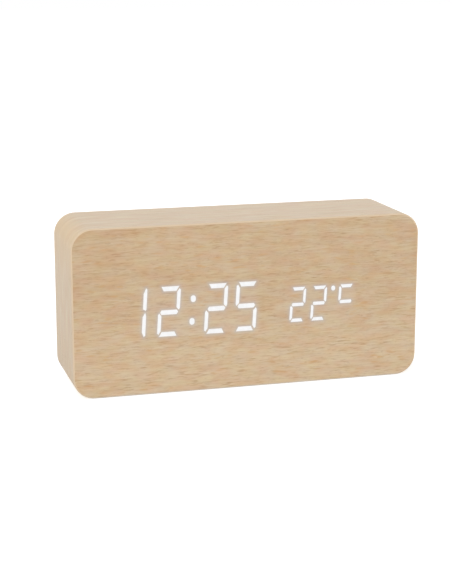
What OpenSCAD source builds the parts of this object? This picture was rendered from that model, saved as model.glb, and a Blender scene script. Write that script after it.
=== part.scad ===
// Desk clock with a time and temperature display that shines through a wood-veneered front.
// Millimetres. X runs left to right seen from the front, Y from the front to the back, Z up.
// The origin is the middle of the base.

/* [Case] */
// Overall width
body_w = 150; // [146:1:190]
// Overall height
body_h = 71; // [68:1:95]
// Overall depth from the front face to the back face
body_d = 41; // [39:1:60]
// Radius of the four corners seen from the front
corner_r = 9; // [7:0.5:13]
// Thickness of the edge band, which is also the radius that eases its two edges
band_t = 1.5; // [1:0.1:2]
// Rounding of the front and back edges of the band
band_ease = 0.8; // [0.4:0.1:1]
// Thickness of the veneer on the front and on the back
veneer_t = 0.6; // [0.4:0.1:1]
// Thickness of the board behind the front veneer
front_board_t = 6; // [5:0.5:8]
// Thickness of the frame's left and right walls
side_wall = 10.5; // [9:0.5:12]
// Thickness of the frame's top and bottom walls
level_wall = 11; // [9:0.5:12]
// Radius of the corners of the pocket in the frame
pocket_r = 4; // [2:0.5:6]

/* [Time digits] */
// Height of a time digit
digit_h = 21.4; // [18:0.1:25]
// Width of a time digit
digit_w = 9.5; // [8:0.1:10.5]
// Thickness of a time digit's level segments
digit_bar = 2.2; // [1.8:0.1:2.8]
// Width of a time digit's upright segments
digit_post = 1.75; // [1.4:0.05:2.2]
// Middle of the tens of hours, from the left wall of the pocket
hour_tens_inset = 14.1; // [13:0.1:15]
// Distance between the two digits of the hours
hour_pitch = 14.2; // [13:0.1:15]
// Distance from the ones of hours to the colon
colon_gap = 10; // [9.5:0.1:11]
// Distance from the colon to the tens of minutes
minute_gap = 10.2; // [9.5:0.1:11]
// Distance between the two digits of the minutes
minute_pitch = 12.9; // [12.5:0.1:15]
// How far the time digits sit below the middle of the clock
digit_drop = 0.6; // [0:0.1:2]
// Distance between the two dots of the colon
colon_spacing = 9.6; // [8:0.1:11]
// Width of a dot of the colon
colon_dot_w = 2.4; // [1.8:0.1:2.6]
// Height of a dot of the colon
colon_dot_h = 3.1; // [2.7:0.1:3.4]

/* [Temperature digits] */
// Height of a temperature digit
small_h = 15; // [13:0.1:17]
// Width of a temperature digit
small_w = 6.7; // [6:0.1:7.2]
// Thickness of a temperature digit's level segments
small_bar = 1.5; // [1.3:0.05:1.8]
// Width of a temperature digit's upright segments
small_post = 1.2; // [1.1:0.05:1.4]
// Middle of the tens of degrees, from the middle of the clock
degree_tens_x = 21; // [20:0.1:23]
// Distance between the two digits of the degrees
degree_pitch = 9.3; // [9:0.1:10.5]
// Distance from the ones of degrees to the degree dot
degree_dot_gap = 6.4; // [5.8:0.1:6.5]
// Distance from the degree dot to the unit digit, which shows a raised C
unit_gap = 5.6; // [5.5:0.1:7]
// How far the temperature digits sit below the middle of the clock
small_drop = 1.2; // [0:0.1:2]
// Height of the degree dot above the middle of the temperature digits
degree_rise = 6.1; // [5:0.1:6.5]
// Width of the degree dot
degree_dot_w = 1.8; // [1.6:0.1:2]
// Height of the degree dot
degree_dot_h = 2.2; // [2.1:0.1:2.6]

/* [Display module] */
// Gap between neighbouring segments of a digit
segment_gap = 0.3; // [0.25:0.05:0.45]
// Lean of the digits to the right, in degrees
digit_slant = 3.5; // [0:0.1:6]
// Depth of a lens behind the back of the veneer
lens_seat = 0.4; // [0.2:0.1:1]
// White margin round the digits on the light box
light_box_margin = 2; // [1.5:0.1:3]
// Width of the flange round the light box
flange_w = 4; // [4:0.1:5]
// Thickness of the flange of the light box
flange_t = 3; // [2:0.1:4]
// Length of a light-emitting chip
led_l = 1.6; // [1.2:0.1:1.8]
// Width of a light-emitting chip
led_w = 0.8; // [0.5:0.1:0.9]
// Height of a light-emitting chip
led_t = 0.7; // [0.4:0.1:1]

/* [Rear cover] */
// How far the rear cover sits below the back face
cover_recess = 0.5; // [0.2:0.1:1]
// Thickness of the rear cover
cover_t = 3; // [3:0.1:4]
// Overlap of the rear cover on the frame
cover_lip = 5; // [4.5:0.5:6]
// Radius of the corners of the rear cover
cover_r = 5; // [3:0.5:6]
// Clearance round the rear cover in its rebate
cover_fit = 0.25; // [0.1:0.05:0.4]
// Length of a vent slot over the temperature sensor
vent_l = 9; // [6:0.5:10]
// Width of every slot in the rear cover
slot_w = 1.3; // [1:0.1:1.6]
// Number of vent slots
vent_count = 5; // [3:1:5]
// Distance between neighbouring slots
slot_pitch = 2.8; // [2.4:0.1:3]
// Length of a sound slot over the buzzer
sound_slot_l = 7; // [4:0.5:8]

/* [Buttons] */
// Radius of a button
button_r = 3.5; // [2.5:0.1:4]
// Clearance round a button in its hole
button_fit = 0.25; // [0.15:0.05:0.4]
// How far a button stands out of the rear cover
button_proud = 0.4; // [0.2:0.1:1]
// Width of the flange that keeps a button in
button_flange = 1.2; // [0.8:0.1:1.5]
// Thickness of that flange
button_flange_t = 1; // [0.8:0.1:1.4]
// How far a button travels
button_travel = 0.5; // [0.25:0.05:0.6]
// Distance between neighbouring buttons
button_pitch = 14; // [13:0.5:15]
// Height of the buttons above the middle of the clock
button_rise = 9; // [8:0.5:10]
// Depth of the mark on a button
mark_depth = 0.25; // [0.1:0.05:0.4]

/* [Boards] */
// Thickness of a circuit board
board_t = 1.6; // [1:0.2:2]
// Gap between the battery tray and the control board
board_gap = 6; // [5:0.5:7]
// Gap between the control board and the right wall of the pocket
board_side_gap = 7; // [5:0.5:9]
// Gap between the control board and the pocket's top and bottom walls
board_level_gap = 3; // [2:0.5:4]
// Distance of the mounting screws from the control board's edges
board_screw_inset = 3; // [2.8:0.1:5]
// Side of a tact switch
tact_w = 6; // [5:0.1:6.5]
// Height of a tact switch's body
tact_t = 3.5; // [3:0.1:4]
// Height of a tact switch over its plunger
tact_h = 5; // [4.6:0.1:6]
// Radius of a plunger
plunger_r = 1.75; // [1.2:0.05:2]
// Length of the stem between a button and its plunger
button_stem = 0.45; // [0.2:0.05:1]
// Width of the power socket
usb_w = 8.94; // [8:0.02:9.2]
// Thickness of the power socket
usb_h = 3.26; // [3:0.02:3.4]
// Wall of the power socket's shell
usb_wall = 0.35; // [0.25:0.05:0.4]
// How far the power socket's mouth sits below the cover's face
usb_recess = 0.2; // [0:0.1:1]
// Radius of the alarm buzzer
buzzer_r = 6; // [5:0.1:6.4]
// Height of the alarm buzzer
buzzer_h = 6; // [4:0.1:6.4]
// Radius of the microphone
microphone_r = 3; // [2:0.1:3.3]
// Height of the microphone
microphone_h = 2.7; // [2:0.1:4]
// Radius of the temperature sensor's bead
sensor_r = 1.1; // [0.8:0.1:1.4]
// Height of the sensor's bead above the control board
sensor_h = 4; // [3:0.1:5]
// Radius of the backup coin cell
coin_r = 10; // [8:0.1:10]
// Thickness of the backup coin cell
coin_t = 3.2; // [2:0.1:3.4]
// Width of the ribbon cable
ribbon_w = 12; // [8:0.5:14]
// Thickness of the ribbon cable
ribbon_t = 0.8; // [0.6:0.1:1]
// Inner radius of the ribbon cable's two bends
ribbon_bend = 1.2; // [0.8:0.1:1.5]

/* [Battery tray] */
// Diameter of an AAA cell
cell_d = 10.5; // [9.8:0.1:10.5]
// Length of an AAA cell over its terminal
cell_l = 44.5; // [43:0.1:45]
// Radius of a cell's raised terminal
terminal_r = 1.9; // [1.5:0.1:2.2]
// Height of a cell's raised terminal
terminal_h = 0.9; // [0.8:0.1:1.2]
// Gap between neighbouring cells
cell_gap = 0.4; // [0.3:0.1:0.8]
// Clearance of the cells below the door and above the floor
cell_fit = 0.3; // [0.2:0.05:0.6]
// Thickness of the tray's walls
tray_wall = 1.4; // [1:0.1:1.8]
// Gap between the tray and the left wall of the pocket
tray_gap = 6.3; // [5.5:0.1:7.5]
// Thickness of a contact plate
contact_t = 0.4; // [0.3:0.05:0.5]
// Length of a fitted contact spring
spring_l = 4.6; // [4:0.1:6]
// Radius of a contact spring at its plate
spring_base_r = 3; // [2.6:0.1:3.2]
// Radius of a contact spring at its cell
spring_tip_r = 2.2; // [1.8:0.1:2.6]
// Radius of the spring wire
spring_wire_r = 0.3; // [0.2:0.05:0.35]
// Turns of a contact spring
spring_turns = 3; // [2:1:3]
// Radius of a battery lead
lead_r = 0.65; // [0.5:0.05:0.7]

/* [Battery door] */
// Thickness of the battery door
door_t = 1.4; // [1.2:0.1:1.4]
// Overlap of the door on the cover round the tray
door_lip = 2; // [1.5:0.1:2.4]
// Clearance round the door
door_fit = 0.25; // [0.2:0.05:0.4]
// Clearance under the door
door_seat = 0.1; // [0.05:0.05:0.2]
// Radius of the rounded hinge edge
knuckle_r = 1.05; // [0.9:0.05:1.1]
// Clearance round the hinge edge
knuckle_fit = 0.3; // [0.2:0.05:0.35]
// Radius of a hinge pin
hinge_pin_r = 0.6; // [0.4:0.05:0.65]
// Length of a hinge pin
hinge_pin_l = 1.6; // [1:0.1:2]
// Running clearance of a hinge pin in its bore
hinge_fit = 0.05; // [0.02:0.01:0.08]
// Width of a latch tab
latch_w = 2; // [1.4:0.1:2.2]
// Length of a latch tab below the door
latch_l = 3; // [2:0.1:3]
// Thickness of a latch tab
latch_t = 1; // [0.8:0.1:1.2]

/* [Fasteners] */
// Distance of the cover screws from the cover's edges
cover_screw_inset = 4; // [3.5:0.1:4.5]
// Radius of a cover screw's head
cover_head_r = 2.2; // [1.9:0.1:2.4]
// Radius of a cover screw's shank
cover_shank_r = 1.1; // [0.9:0.1:1.3]
// Length of a cover screw
cover_screw_l = 12; // [9:0.5:14]
// Radius of a board screw's head
pan_head_r = 1.9; // [1.6:0.1:2]
// Height of a board screw's head
pan_head_h = 1.2; // [1:0.1:1.5]
// Radius of a board screw's shank
pan_shank_r = 0.9; // [0.8:0.05:1]
// Length of a board screw in the part that it holds
pan_screw_bite = 4; // [3:0.5:5]
// Clearance of a screw in its hole
screw_fit = 0.05; // [0.03:0.01:0.15]

/* [Hidden] */
$fn = 64;

// Planes from the front to the back
mid_z = body_h / 2;
front_y = -body_d / 2;
back_y = body_d / 2;
board_face_y = front_y + veneer_t;
frame_y0 = board_face_y + front_board_t;
frame_y1 = back_y - veneer_t;
light_box_y1 = frame_y0 + flange_t;
display_y1 = light_box_y1 + board_t;
cover_y1 = back_y - cover_recess;
cover_y0 = cover_y1 - cover_t;
flange_gap = 0.15;
control_y1 = cover_y0 - flange_gap - button_flange_t - button_stem - tact_h;
control_y0 = control_y1 - board_t;

// Outlines of the case
case_w = body_w - 2 * band_t;
case_h = body_h - 2 * band_t;
case_r = corner_r - band_t;
pocket_w = case_w - 2 * side_wall;
pocket_h = case_h - 2 * level_wall;
cover_w = pocket_w + 2 * cover_lip;
cover_h = pocket_h + 2 * cover_lip;

// Digits: segments 0 to 6 are the top, upper right, lower right, bottom, lower left, upper left, middle
ALL = [0, 1, 2, 3, 4, 5, 6];
ONE = [1, 2];
TWO = [0, 1, 6, 4, 3];
FIVE = [0, 5, 6, 2, 3];
RAISED_C = [0, 5, 6];
UPRIGHT = [false, true, true, false, true, true, false];
hour_tens_x = hour_tens_inset - pocket_w / 2;
hour_ones_x = hour_tens_x + hour_pitch;
colon_x = hour_ones_x + colon_gap;
minute_tens_x = colon_x + minute_gap;
minute_ones_x = minute_tens_x + minute_pitch;
degree_ones_x = degree_tens_x + degree_pitch;
degree_dot_x = degree_ones_x + degree_dot_gap;
unit_x = degree_dot_x + unit_gap;
digit_z = mid_z - digit_drop;
small_z = mid_z - small_drop;
TIME_DIGITS = [[hour_tens_x, ONE], [hour_ones_x, TWO], [minute_tens_x, TWO], [minute_ones_x, FIVE]];
DEGREE_DIGITS = [[degree_tens_x, TWO], [degree_ones_x, TWO], [unit_x, RAISED_C]];

// Light box: it reaches past the outermost digits, leaned, by its margin
lean = tan(digit_slant);
light_box_x0 = hour_tens_x - digit_w / 2 - lean * digit_h / 2 - light_box_margin;
light_box_x1 = unit_x + small_w / 2 + lean * small_h / 2 + light_box_margin;
light_box_w = light_box_x1 - light_box_x0;
light_box_h = digit_h + 2 * light_box_margin;
light_box_x = (light_box_x0 + light_box_x1) / 2;
light_box_fit = 0.3;
flange_r = 2;

// Battery tray, with the cells lying along X and stacked along Z
CELL_ROWS = [1, 0, -1];
cell_pitch = cell_d + cell_gap;
tray_x0 = tray_gap + tray_wall - pocket_w / 2;
tray_x1 = tray_x0 + cell_l + spring_l + 2 * contact_t;
tray_h = len(CELL_ROWS) * cell_pitch;
door_y0 = cover_y1 - door_t;
cell_y = door_y0 - cell_fit - cell_d / 2;
tray_floor_y = cell_y - cell_d / 2 - cell_fit;

// Battery door, which turns on pins along Z at its left edge
groove_r = knuckle_r + knuckle_fit;
groove_land = 0.6;
hinge_x = tray_x0 - groove_land - groove_r;
hinge_sink = 0.05;
hinge_y = cover_y1 - hinge_sink - knuckle_r;
rebate_x0 = hinge_x - groove_r;
rebate_x1 = tray_x1 + door_lip;
rebate_h = tray_h + 2 * door_lip;
door_x1 = rebate_x1 - door_fit;
door_h = rebate_h - 2 * door_fit;
latch_gap = 0.3;
latch_bead_r = 0.27;
latch_bead_sink = 0.15;
latch_bead_rise = 0.9;
grip_r = 0.35;
grip_pitch = 1.6;
GRIPS = [0, 1, 2];
grip_inset = 3;
grip_l = 18;
notch_r = 5;
notch_depth = 1.2;

// Control board, which fills the space beside the tray, and what stands on it, placed from its middle
board_x0 = tray_x1 + tray_wall + board_gap;
board_x1 = pocket_w / 2 - board_side_gap;
board_w = board_x1 - board_x0;
board_h = pocket_h - 2 * board_level_gap;
board_x = (board_x0 + board_x1) / 2;
BUTTON_X = [-button_pitch, 0, button_pitch];
button_z = mid_z + button_rise;
ring_r = 1.45;
ring_w = 0.7;
arrow_half = 1.9;
arrow_foot = 1.15;
arrow_tip = 1.55;
boss_r = 2.6;
plunger_fit = 0.08;
plunger_floor = 0.9;
plunger_spare = 0.2;
plunger_sunk = plunger_floor + button_travel + plunger_spare;
usb_side = 14;
usb_drop = 10;
usb_x = board_x + usb_side;
usb_z = mid_z - usb_drop;
usb_fit = 0.25;
usb_base = 1.6;
usb_seat = 0.02;
tongue_w = 6.6;
tongue_h = 0.7;
tongue_recess = 1.2;
buzzer_side = 14;
buzzer_drop = 8;
buzzer_x = board_x - buzzer_side;
buzzer_z = mid_z - buzzer_drop;
sound_slot_count = 3;
buzzer_hole_r = 1;
microphone_drop = 1;
microphone_x = board_x;
microphone_z = mid_z - microphone_drop;
microphone_port_r = 1;
microphone_port_d = 0.6;
sensor_drop = 11;
sensor_x = board_x;
sensor_z = mid_z - sensor_drop;
sensor_leg_r = 0.25;
sensor_leg_gap = 1.2;
coin_side = 8;
coin_drop = 6;
coin_x = board_x + coin_side;
coin_z = mid_z - coin_drop;
coin_fit = 0.2;
coin_wall = 1.2;
coin_floor = 1;
coin_notch_w = 8;

// Chip and crystal on the back of the display board
chip_side = 20;
chip_x = light_box_x - chip_side;
chip_l = 18;
chip_w = 7.5;
chip_t = 2.3;
chip_rise = 0.15;
leg_count = 14;
leg_pitch = 1.27;
leg_w = 0.45;
leg_t = 0.25;
leg_reach = 1.4;
crystal_x = light_box_x;
crystal_r = 1.5;
crystal_l = 8;

// Ribbon cable between a connector on each board
ribbon_side = 16;
ribbon_rise = 6;
ribbon_x = board_x - ribbon_side;
ribbon_high_z = mid_z + ribbon_rise;
ribbon_drop = 8;
connector_h = 2.5;
connector_t = 4;
connector_margin = 2;
ribbon_y0 = display_y1 + connector_h;
ribbon_y1 = control_y0 - connector_h;
ribbon_mid_y = (ribbon_y0 + ribbon_y1) / 2;

// Contacts: plate sizes about a cell's axis, along Y and Z
contact_front = 4;
contact_back = 3.7;
contact_y0 = cell_y - contact_front;
contact_y1 = cell_y + contact_back;
contact_half_z = 4.2;
bridge_front = 1;
bridge_y1 = cell_y - bridge_front;
tab_w = 2;
tab_t = 0.5;
tab_reach = 1.5;
tab_fit = 0.1;
tab_front = 3;
tab_y = cell_y - tab_front;
SPRING_RINGS = 8;
SPRING_SIDES = 6;
LEAD_SIDES = 8;

// Leads: from a solder tab to the front of the control board
lead_clear = 1.5;
lead_y = tray_floor_y - tray_wall - lead_clear;
red_z = mid_z + cell_pitch;
black_z = mid_z - cell_pitch;
red_x = tray_x0 - tray_wall - tab_reach;
black_x = tray_x1 + tray_wall + tab_reach;
lead_land_inset = 4;
lead_land_x = board_x0 + lead_land_inset;
RED_ROUTE = [
    [red_x, tab_y, red_z], [red_x - 0.4, tab_y, red_z], [red_x - 1, tab_y - 0.5, red_z],
    [red_x - 1.2, tab_y - 1.4, red_z], [red_x - 1.2, lead_y + 2, red_z],
    [red_x - 0.8, lead_y + 0.6, red_z], [red_x + 0.4, lead_y, red_z],
    [red_x + 10, lead_y - 0.5, red_z - 1], [red_x + 25, lead_y - 1, red_z - 3],
    [red_x + 40, lead_y - 0.8, red_z - 3], [lead_land_x - 6, lead_y - 0.4, red_z - 2],
    [lead_land_x - 2, lead_y, red_z - 1.5], [lead_land_x - 0.5, lead_y + 0.6, red_z - 1.5],
    [lead_land_x, lead_y + 2, red_z - 1.5], [lead_land_x, control_y0, red_z - 1.5]
];
BLACK_ROUTE = [
    [black_x, tab_y, black_z], [black_x + 0.4, tab_y, black_z], [black_x + 1, tab_y - 0.5, black_z],
    [black_x + 1.2, tab_y - 1.4, black_z],
    [black_x + 1.2, lead_y + 2, black_z], [black_x + 1.6, lead_y + 0.8, black_z],
    [black_x + 2.8, lead_y + 0.2, black_z], [lead_land_x - 1.6, lead_y + 0.3, black_z],
    [lead_land_x - 0.5, lead_y + 1, black_z], [lead_land_x, lead_y + 2.2, black_z],
    [lead_land_x, control_y0, black_z]
];

// Screws
head_rise = 1.3;
screw_point_r = 0.45;
screw_point_l = 1.65;
cross_w = 0.5;
cross_depth = 0.8;
cross_margin = 0.8;
display_screw_l = board_t + flange_t + pan_screw_bite;
CORNERS = [[-1, -1], [1, -1], [1, 1], [-1, 1]];
past = 1;

// Ends of a segment as shares of the post's width: its cut corner, its point and the slopes beside it
corner_cut = 0.43;
point_in = 0.3;
slope = 0.65;
bar_shoulder = 0.83;

// Ends of a segment as shares of the gap: between bar and post at a corner, and where two posts meet a bar
bar_mitre = 0.7;
post_outside = 0.9;
post_point = 0.9;
post_inside = 1.7;
bar_point = 0.8;

// Outline of the segments of a digit about its middle, before it leans
function segment(i, w, h, bar, post) =
    let (x = w / 2, y = h / 2, cut = corner_cut * post, g = segment_gap, inner = x - post)
    i == 0 ? [
        [cut - x, y], [x - cut, y], [inner - g * bar_mitre, y - bar], [g * bar_mitre - inner, y - bar]
    ] :
    i == 1 ? [
        [x - cut, y - cut - g / 2], [x, y - 2 * cut - g / 2], [x, post * slope + g * post_outside],
        [x - post * point_in, g * post_point], [inner, post * slope + g * post_inside], [inner, y - bar - g]
    ] :
    i == 2 ? [for (p = segment(1, w, h, bar, post)) [p[0], -p[1]]] :
    i == 3 ? [for (p = segment(0, w, h, bar, post)) [p[0], -p[1]]] :
    i == 4 ? [for (p = segment(1, w, h, bar, post)) [-p[0], -p[1]]] :
    i == 5 ? [for (p = segment(1, w, h, bar, post)) [-p[0], p[1]]] :
    let (tip = x - post * point_in - g * bar_point, shoulder = x - post * bar_shoulder)
    [
        [-tip, 0], [-shoulder, bar / 2], [shoulder, bar / 2],
        [tip, 0], [shoulder, -bar / 2], [-shoulder, -bar / 2]
    ];
function leaned(points) = [for (p = points) [p[0] + lean * p[1], p[1]]];
function halfway(values) = (max(values) + min(values)) / 2;
function middle(points) = [for (k = [0, 1]) halfway([for (p = points) p[k]])];

// Tube swept along points; ref is any direction that no stretch of the route runs along
function unit(v) = v / norm(v);
function heading(p, i) = unit(p[min(i + 1, len(p) - 1)] - p[max(i - 1, 0)]);
function tube_points(p, r, sides, ref) = [
    for (i = [0 : len(p) - 1])
        let (t = heading(p, i), u = unit(cross(t, ref)), v = cross(t, u))
        for (k = [0 : sides - 1]) p[i] + r * (cos(360 * k / sides) * u + sin(360 * k / sides) * v)
];
function tube_faces(n, sides) = concat(
    [for (i = [0 : n - 2], k = [0 : sides - 1])
        [i * sides + k, i * sides + (k + 1) % sides, (i + 1) * sides + k]],
    [for (i = [0 : n - 2], k = [0 : sides - 1])
        [i * sides + (k + 1) % sides, (i + 1) * sides + (k + 1) % sides, (i + 1) * sides + k]],
    [for (k = [1 : sides - 2]) [0, k + 1, k]],
    [for (k = [1 : sides - 2]) [(n - 1) * sides, (n - 1) * sides + k, (n - 1) * sides + k + 1]]
);
module tube(p, r, sides, ref) {
    polyhedron(tube_points(p, r, sides, ref), tube_faces(len(p), sides), convexity = 10);
}

// Middle line of a contact spring that stands on a plate at x = 0 and points along +X
spring_clear = 0.02;
SPRING_LINE = [
    for (i = [0 : spring_turns * SPRING_RINGS])
        let (
            s = i / (spring_turns * SPRING_RINGS),
            r = spring_base_r + (spring_tip_r - spring_base_r) * s,
            reach = spring_l - 2 * (spring_wire_r + spring_clear)
        )
        [
            spring_wire_r + spring_clear + reach * s,
            r * cos(360 * i / SPRING_RINGS), r * sin(360 * i / SPRING_RINGS)
        ]
];
spring_gap = min([
    for (i = [0 : len(SPRING_LINE) - 1])
        for (k = [i + SPRING_RINGS - 2 : 1 : len(SPRING_LINE) - 1]) norm(SPRING_LINE[i] - SPRING_LINE[k])
]) - 2 * spring_wire_r;
echo(str("least gap between the turns of a battery spring: ", spring_gap, " mm"));

// Shapes drawn as seen from the front, in X and Z
module rounded_rect(w, h, r) {
    square([w, h - 2 * r], center = true);
    square([w - 2 * r, h], center = true);
    for (c = CORNERS) translate([c[0] * (w / 2 - r), c[1] * (h / 2 - r)]) circle(r);
}
module oblong(w, h) {
    r = min(w, h) / 2;
    square(w > h ? [w - h, h] : [w, h - w], center = true);
    for (s = [-1, 1]) translate(s * [w / 2 - r, h / 2 - r]) circle(r);
}
module case_outline() {
    translate([0, mid_z]) rounded_rect(case_w, case_h, case_r);
}
module pocket_outline() {
    translate([0, mid_z]) rounded_rect(pocket_w, pocket_h, pocket_r);
}
module cover_outline(extra) {
    translate([0, mid_z]) rounded_rect(cover_w + 2 * extra, cover_h + 2 * extra, cover_r + extra);
}
module light_box_outline(extra) {
    translate([light_box_x, digit_z])
        square([light_box_w + 2 * extra, light_box_h + 2 * extra], center = true);
}
module flange_outline() {
    translate([light_box_x, digit_z])
        rounded_rect(light_box_w + 2 * flange_w, light_box_h + 2 * flange_w, flange_r);
}
module time_digit(x, lit) {
    for (i = lit)
        translate([x, digit_z]) polygon(leaned(segment(i, digit_w, digit_h, digit_bar, digit_post)));
}
module degree_digit(x, lit) {
    for (i = lit)
        translate([x, small_z]) polygon(leaned(segment(i, small_w, small_h, small_bar, small_post)));
}
module colon_dots() {
    for (s = [-1, 1])
        translate([colon_x + s * lean * colon_spacing / 2, digit_z + s * colon_spacing / 2])
            oblong(colon_dot_w, colon_dot_h);
}
module degree_dot() {
    translate([degree_dot_x, small_z + degree_rise]) oblong(degree_dot_w, degree_dot_h);
}
module lit_segments() {
    for (d = TIME_DIGITS) time_digit(d[0], d[1]);
    for (d = DEGREE_DIGITS) degree_digit(d[0], d[1]);
    colon_dots();
    degree_dot();
}
module every_segment() {
    for (d = TIME_DIGITS) time_digit(d[0], ALL);
    for (d = DEGREE_DIGITS) degree_digit(d[0], ALL);
    colon_dots();
    degree_dot();
}

// A front view made solid from y0 back to y1, a round bar along Y, and a turned shape that points back
module slab(y0, y1) {
    translate([0, y1, 0]) rotate([90, 0, 0]) linear_extrude(y1 - y0) children();
}
module bar_y(x, z, y0, y1, r) {
    translate([x, y0, z]) rotate([-90, 0, 0]) cylinder(r = r, h = y1 - y0);
}
module box_between(low, high) {
    translate(low) cube(high - low);
}
module box_at_middle(x0, x1, y0, y1, height) {
    box_between([x0, y0, mid_z - height / 2], [x1, y1, mid_z + height / 2]);
}
module rod_at_middle(x, y, height, r) {
    translate([x, y, mid_z - height / 2]) cylinder(r = r, h = height);
}

// Places of the screws
module at_cover_screws() {
    for (c = CORNERS)
        translate([
            c[0] * (cover_w / 2 - cover_screw_inset), 0,
            mid_z + c[1] * (cover_h / 2 - cover_screw_inset)
        ]) children();
}
module at_display_screws() {
    for (c = CORNERS)
        translate([
            light_box_x + c[0] * (light_box_w + flange_w) / 2, 0,
            digit_z + c[1] * (light_box_h + flange_w) / 2
        ]) children();
}
module at_board_screws() {
    for (c = CORNERS)
        translate([
            board_x + c[0] * (board_w / 2 - board_screw_inset), 0,
            mid_z + c[1] * (board_h / 2 - board_screw_inset)
        ]) children();
}

// Screws, with their heads at the given plane: a countersunk one and a pan-headed one
module cross_slot(r) {
    for (a = [0, 90])
        rotate([0, 0, a]) translate([-r, -cross_w / 2, -cross_depth])
            cube([2 * r, cross_w, 2 * cross_depth]);
}
module countersunk_screw(y) {
    translate([0, y, 0]) rotate([-90, 0, 0]) difference() {
        rotate_extrude() polygon([
            [0, -cover_screw_l], [screw_point_r, -cover_screw_l],
            [cover_shank_r, screw_point_l - cover_screw_l], [cover_shank_r, -head_rise],
            [cover_head_r, 0], [0, 0]
        ]);
        cross_slot(cover_head_r - cross_margin);
    }
}
module countersunk_hole(y) {
    shank_r = cover_shank_r + screw_fit;
    head_r = cover_head_r + screw_fit;
    translate([0, y, 0]) rotate([-90, 0, 0]) rotate_extrude() polygon([
        [0, -cover_screw_l - past], [shank_r, -cover_screw_l - past], [shank_r, -head_rise],
        [head_r, 0], [head_r, past], [0, past]
    ]);
}
module pan_screw(y, length, out) {
    translate([0, y, 0]) rotate([-90 * out, 0, 0]) difference() {
        union() {
            cylinder(r = pan_head_r, h = pan_head_h);
            translate([0, 0, -length]) cylinder(r = pan_shank_r, h = length + pan_head_h / 2);
        }
        translate([0, 0, pan_head_h]) cross_slot(pan_head_r - cross_margin);
    }
}

// Case
module case_frame() {
    color("burlywood") difference() {
        slab(frame_y0, frame_y1) difference() {
            case_outline();
            pocket_outline();
        }
        slab(cover_y0, frame_y1 + past) cover_outline(cover_fit);
        at_cover_screws() countersunk_hole(cover_y1);
    }
}
module front_board() {
    color("burlywood") difference() {
        slab(board_face_y, frame_y0) difference() {
            case_outline();
            light_box_outline(light_box_fit);
        }
        at_display_screws()
            bar_y(0, 0, display_y1 - display_screw_l - screw_fit, frame_y0 + past, pan_shank_r + screw_fit);
    }
}
module front_veneer() {
    color("tan") slab(front_y, board_face_y) difference() {
        case_outline();
        lit_segments();
    }
}
module back_veneer() {
    color("tan") slab(frame_y1, back_y) difference() {
        case_outline();
        cover_outline(cover_fit);
    }
}
module band_section() {
    edge = body_d / 2;
    difference() {
        translate([0, -edge]) square([band_t, body_d]);
        for (s = [-1, 1])
            translate([band_t - band_ease, s * (edge - band_ease)]) difference() {
                translate([0, s > 0 ? 0 : -band_ease - past]) square(band_ease + past);
                circle(band_ease);
            }
    }
}
module band_run(side) {
    run = side - 2 * corner_r;
    translate([0, 0, -run / 2]) linear_extrude(run) band_section();
}
module edge_band() {
    color("wheat") translate([0, 0, mid_z]) {
        for (turn = [0, 180]) {
            rotate([0, turn, 0]) translate([0, 0, case_h / 2]) rotate([0, -90, 0]) band_run(body_w);
            rotate([0, turn, 0]) translate([case_w / 2, 0, 0]) band_run(body_h);
        }
        for (c = CORNERS)
            translate([c[0] * (body_w / 2 - corner_r), 0, c[1] * (body_h / 2 - corner_r)])
                rotate([90, 0, 0]) rotate(c[0] > 0 ? (c[1] > 0 ? 0 : 270) : (c[1] > 0 ? 90 : 180))
                    rotate_extrude(angle = 90) translate([case_r, 0]) band_section();
    }
}

// Display
module light_box() {
    color("white") difference() {
        union() {
            slab(board_face_y, light_box_y1) light_box_outline(0);
            slab(frame_y0, light_box_y1) flange_outline();
        }
        slab(board_face_y - past, light_box_y1 + past) every_segment();
        at_display_screws() bar_y(0, 0, frame_y0 - past, light_box_y1 + past, pan_shank_r + screw_fit);
    }
}
module display_board() {
    color("darkgreen") difference() {
        slab(light_box_y1, display_y1) flange_outline();
        at_display_screws() bar_y(0, 0, light_box_y1 - past, display_y1 + past, pan_shank_r + screw_fit);
    }
}
module led(x, z, upright) {
    size = upright ? [led_w, led_t, led_l] : [led_l, led_t, led_w];
    translate([x - size[0] / 2, light_box_y1 - led_t, z - size[2] / 2]) cube(size);
}
module digit_leds(x, z, w, h, bar, post) {
    for (i = ALL) {
        m = middle(leaned(segment(i, w, h, bar, post)));
        led(x + m[0], z + m[1], UPRIGHT[i]);
    }
}
module led_chips() {
    color("lightyellow") {
        for (d = TIME_DIGITS) digit_leds(d[0], digit_z, digit_w, digit_h, digit_bar, digit_post);
        for (d = DEGREE_DIGITS) digit_leds(d[0], small_z, small_w, small_h, small_bar, small_post);
        for (s = [-1, 1])
            led(colon_x + s * lean * colon_spacing / 2, digit_z + s * colon_spacing / 2, true);
        led(degree_dot_x, small_z + degree_rise, true);
    }
}
module lens() {
    color("white") slab(front_y, board_face_y + lens_seat) children();
}
module clock_chip() {
    color("dimgray") translate([chip_x - chip_l / 2, display_y1 + chip_rise, digit_z - chip_w / 2])
        cube([chip_l, chip_t, chip_w]);
}
module chip_leg() {
    half = leg_w / 2;
    knee = chip_rise + chip_t / 2;
    shin = [leg_reach - leg_t, leg_reach + leg_t] / 2;
    box_between([-half, knee, 0], [half, knee + leg_t, shin[1]]);
    box_between([-half, 0, shin[0]], [half, knee + leg_t, shin[1]]);
    box_between([-half, 0, shin[0]], [half, leg_t, leg_reach]);
}
module clock_chip_legs() {
    color("silver") for (side = [0, 1], i = [0 : leg_count - 1])
        translate([chip_x + (i - (leg_count - 1) / 2) * leg_pitch, display_y1, digit_z])
            mirror([0, 0, side]) translate([0, 0, chip_w / 2]) chip_leg();
}
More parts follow.
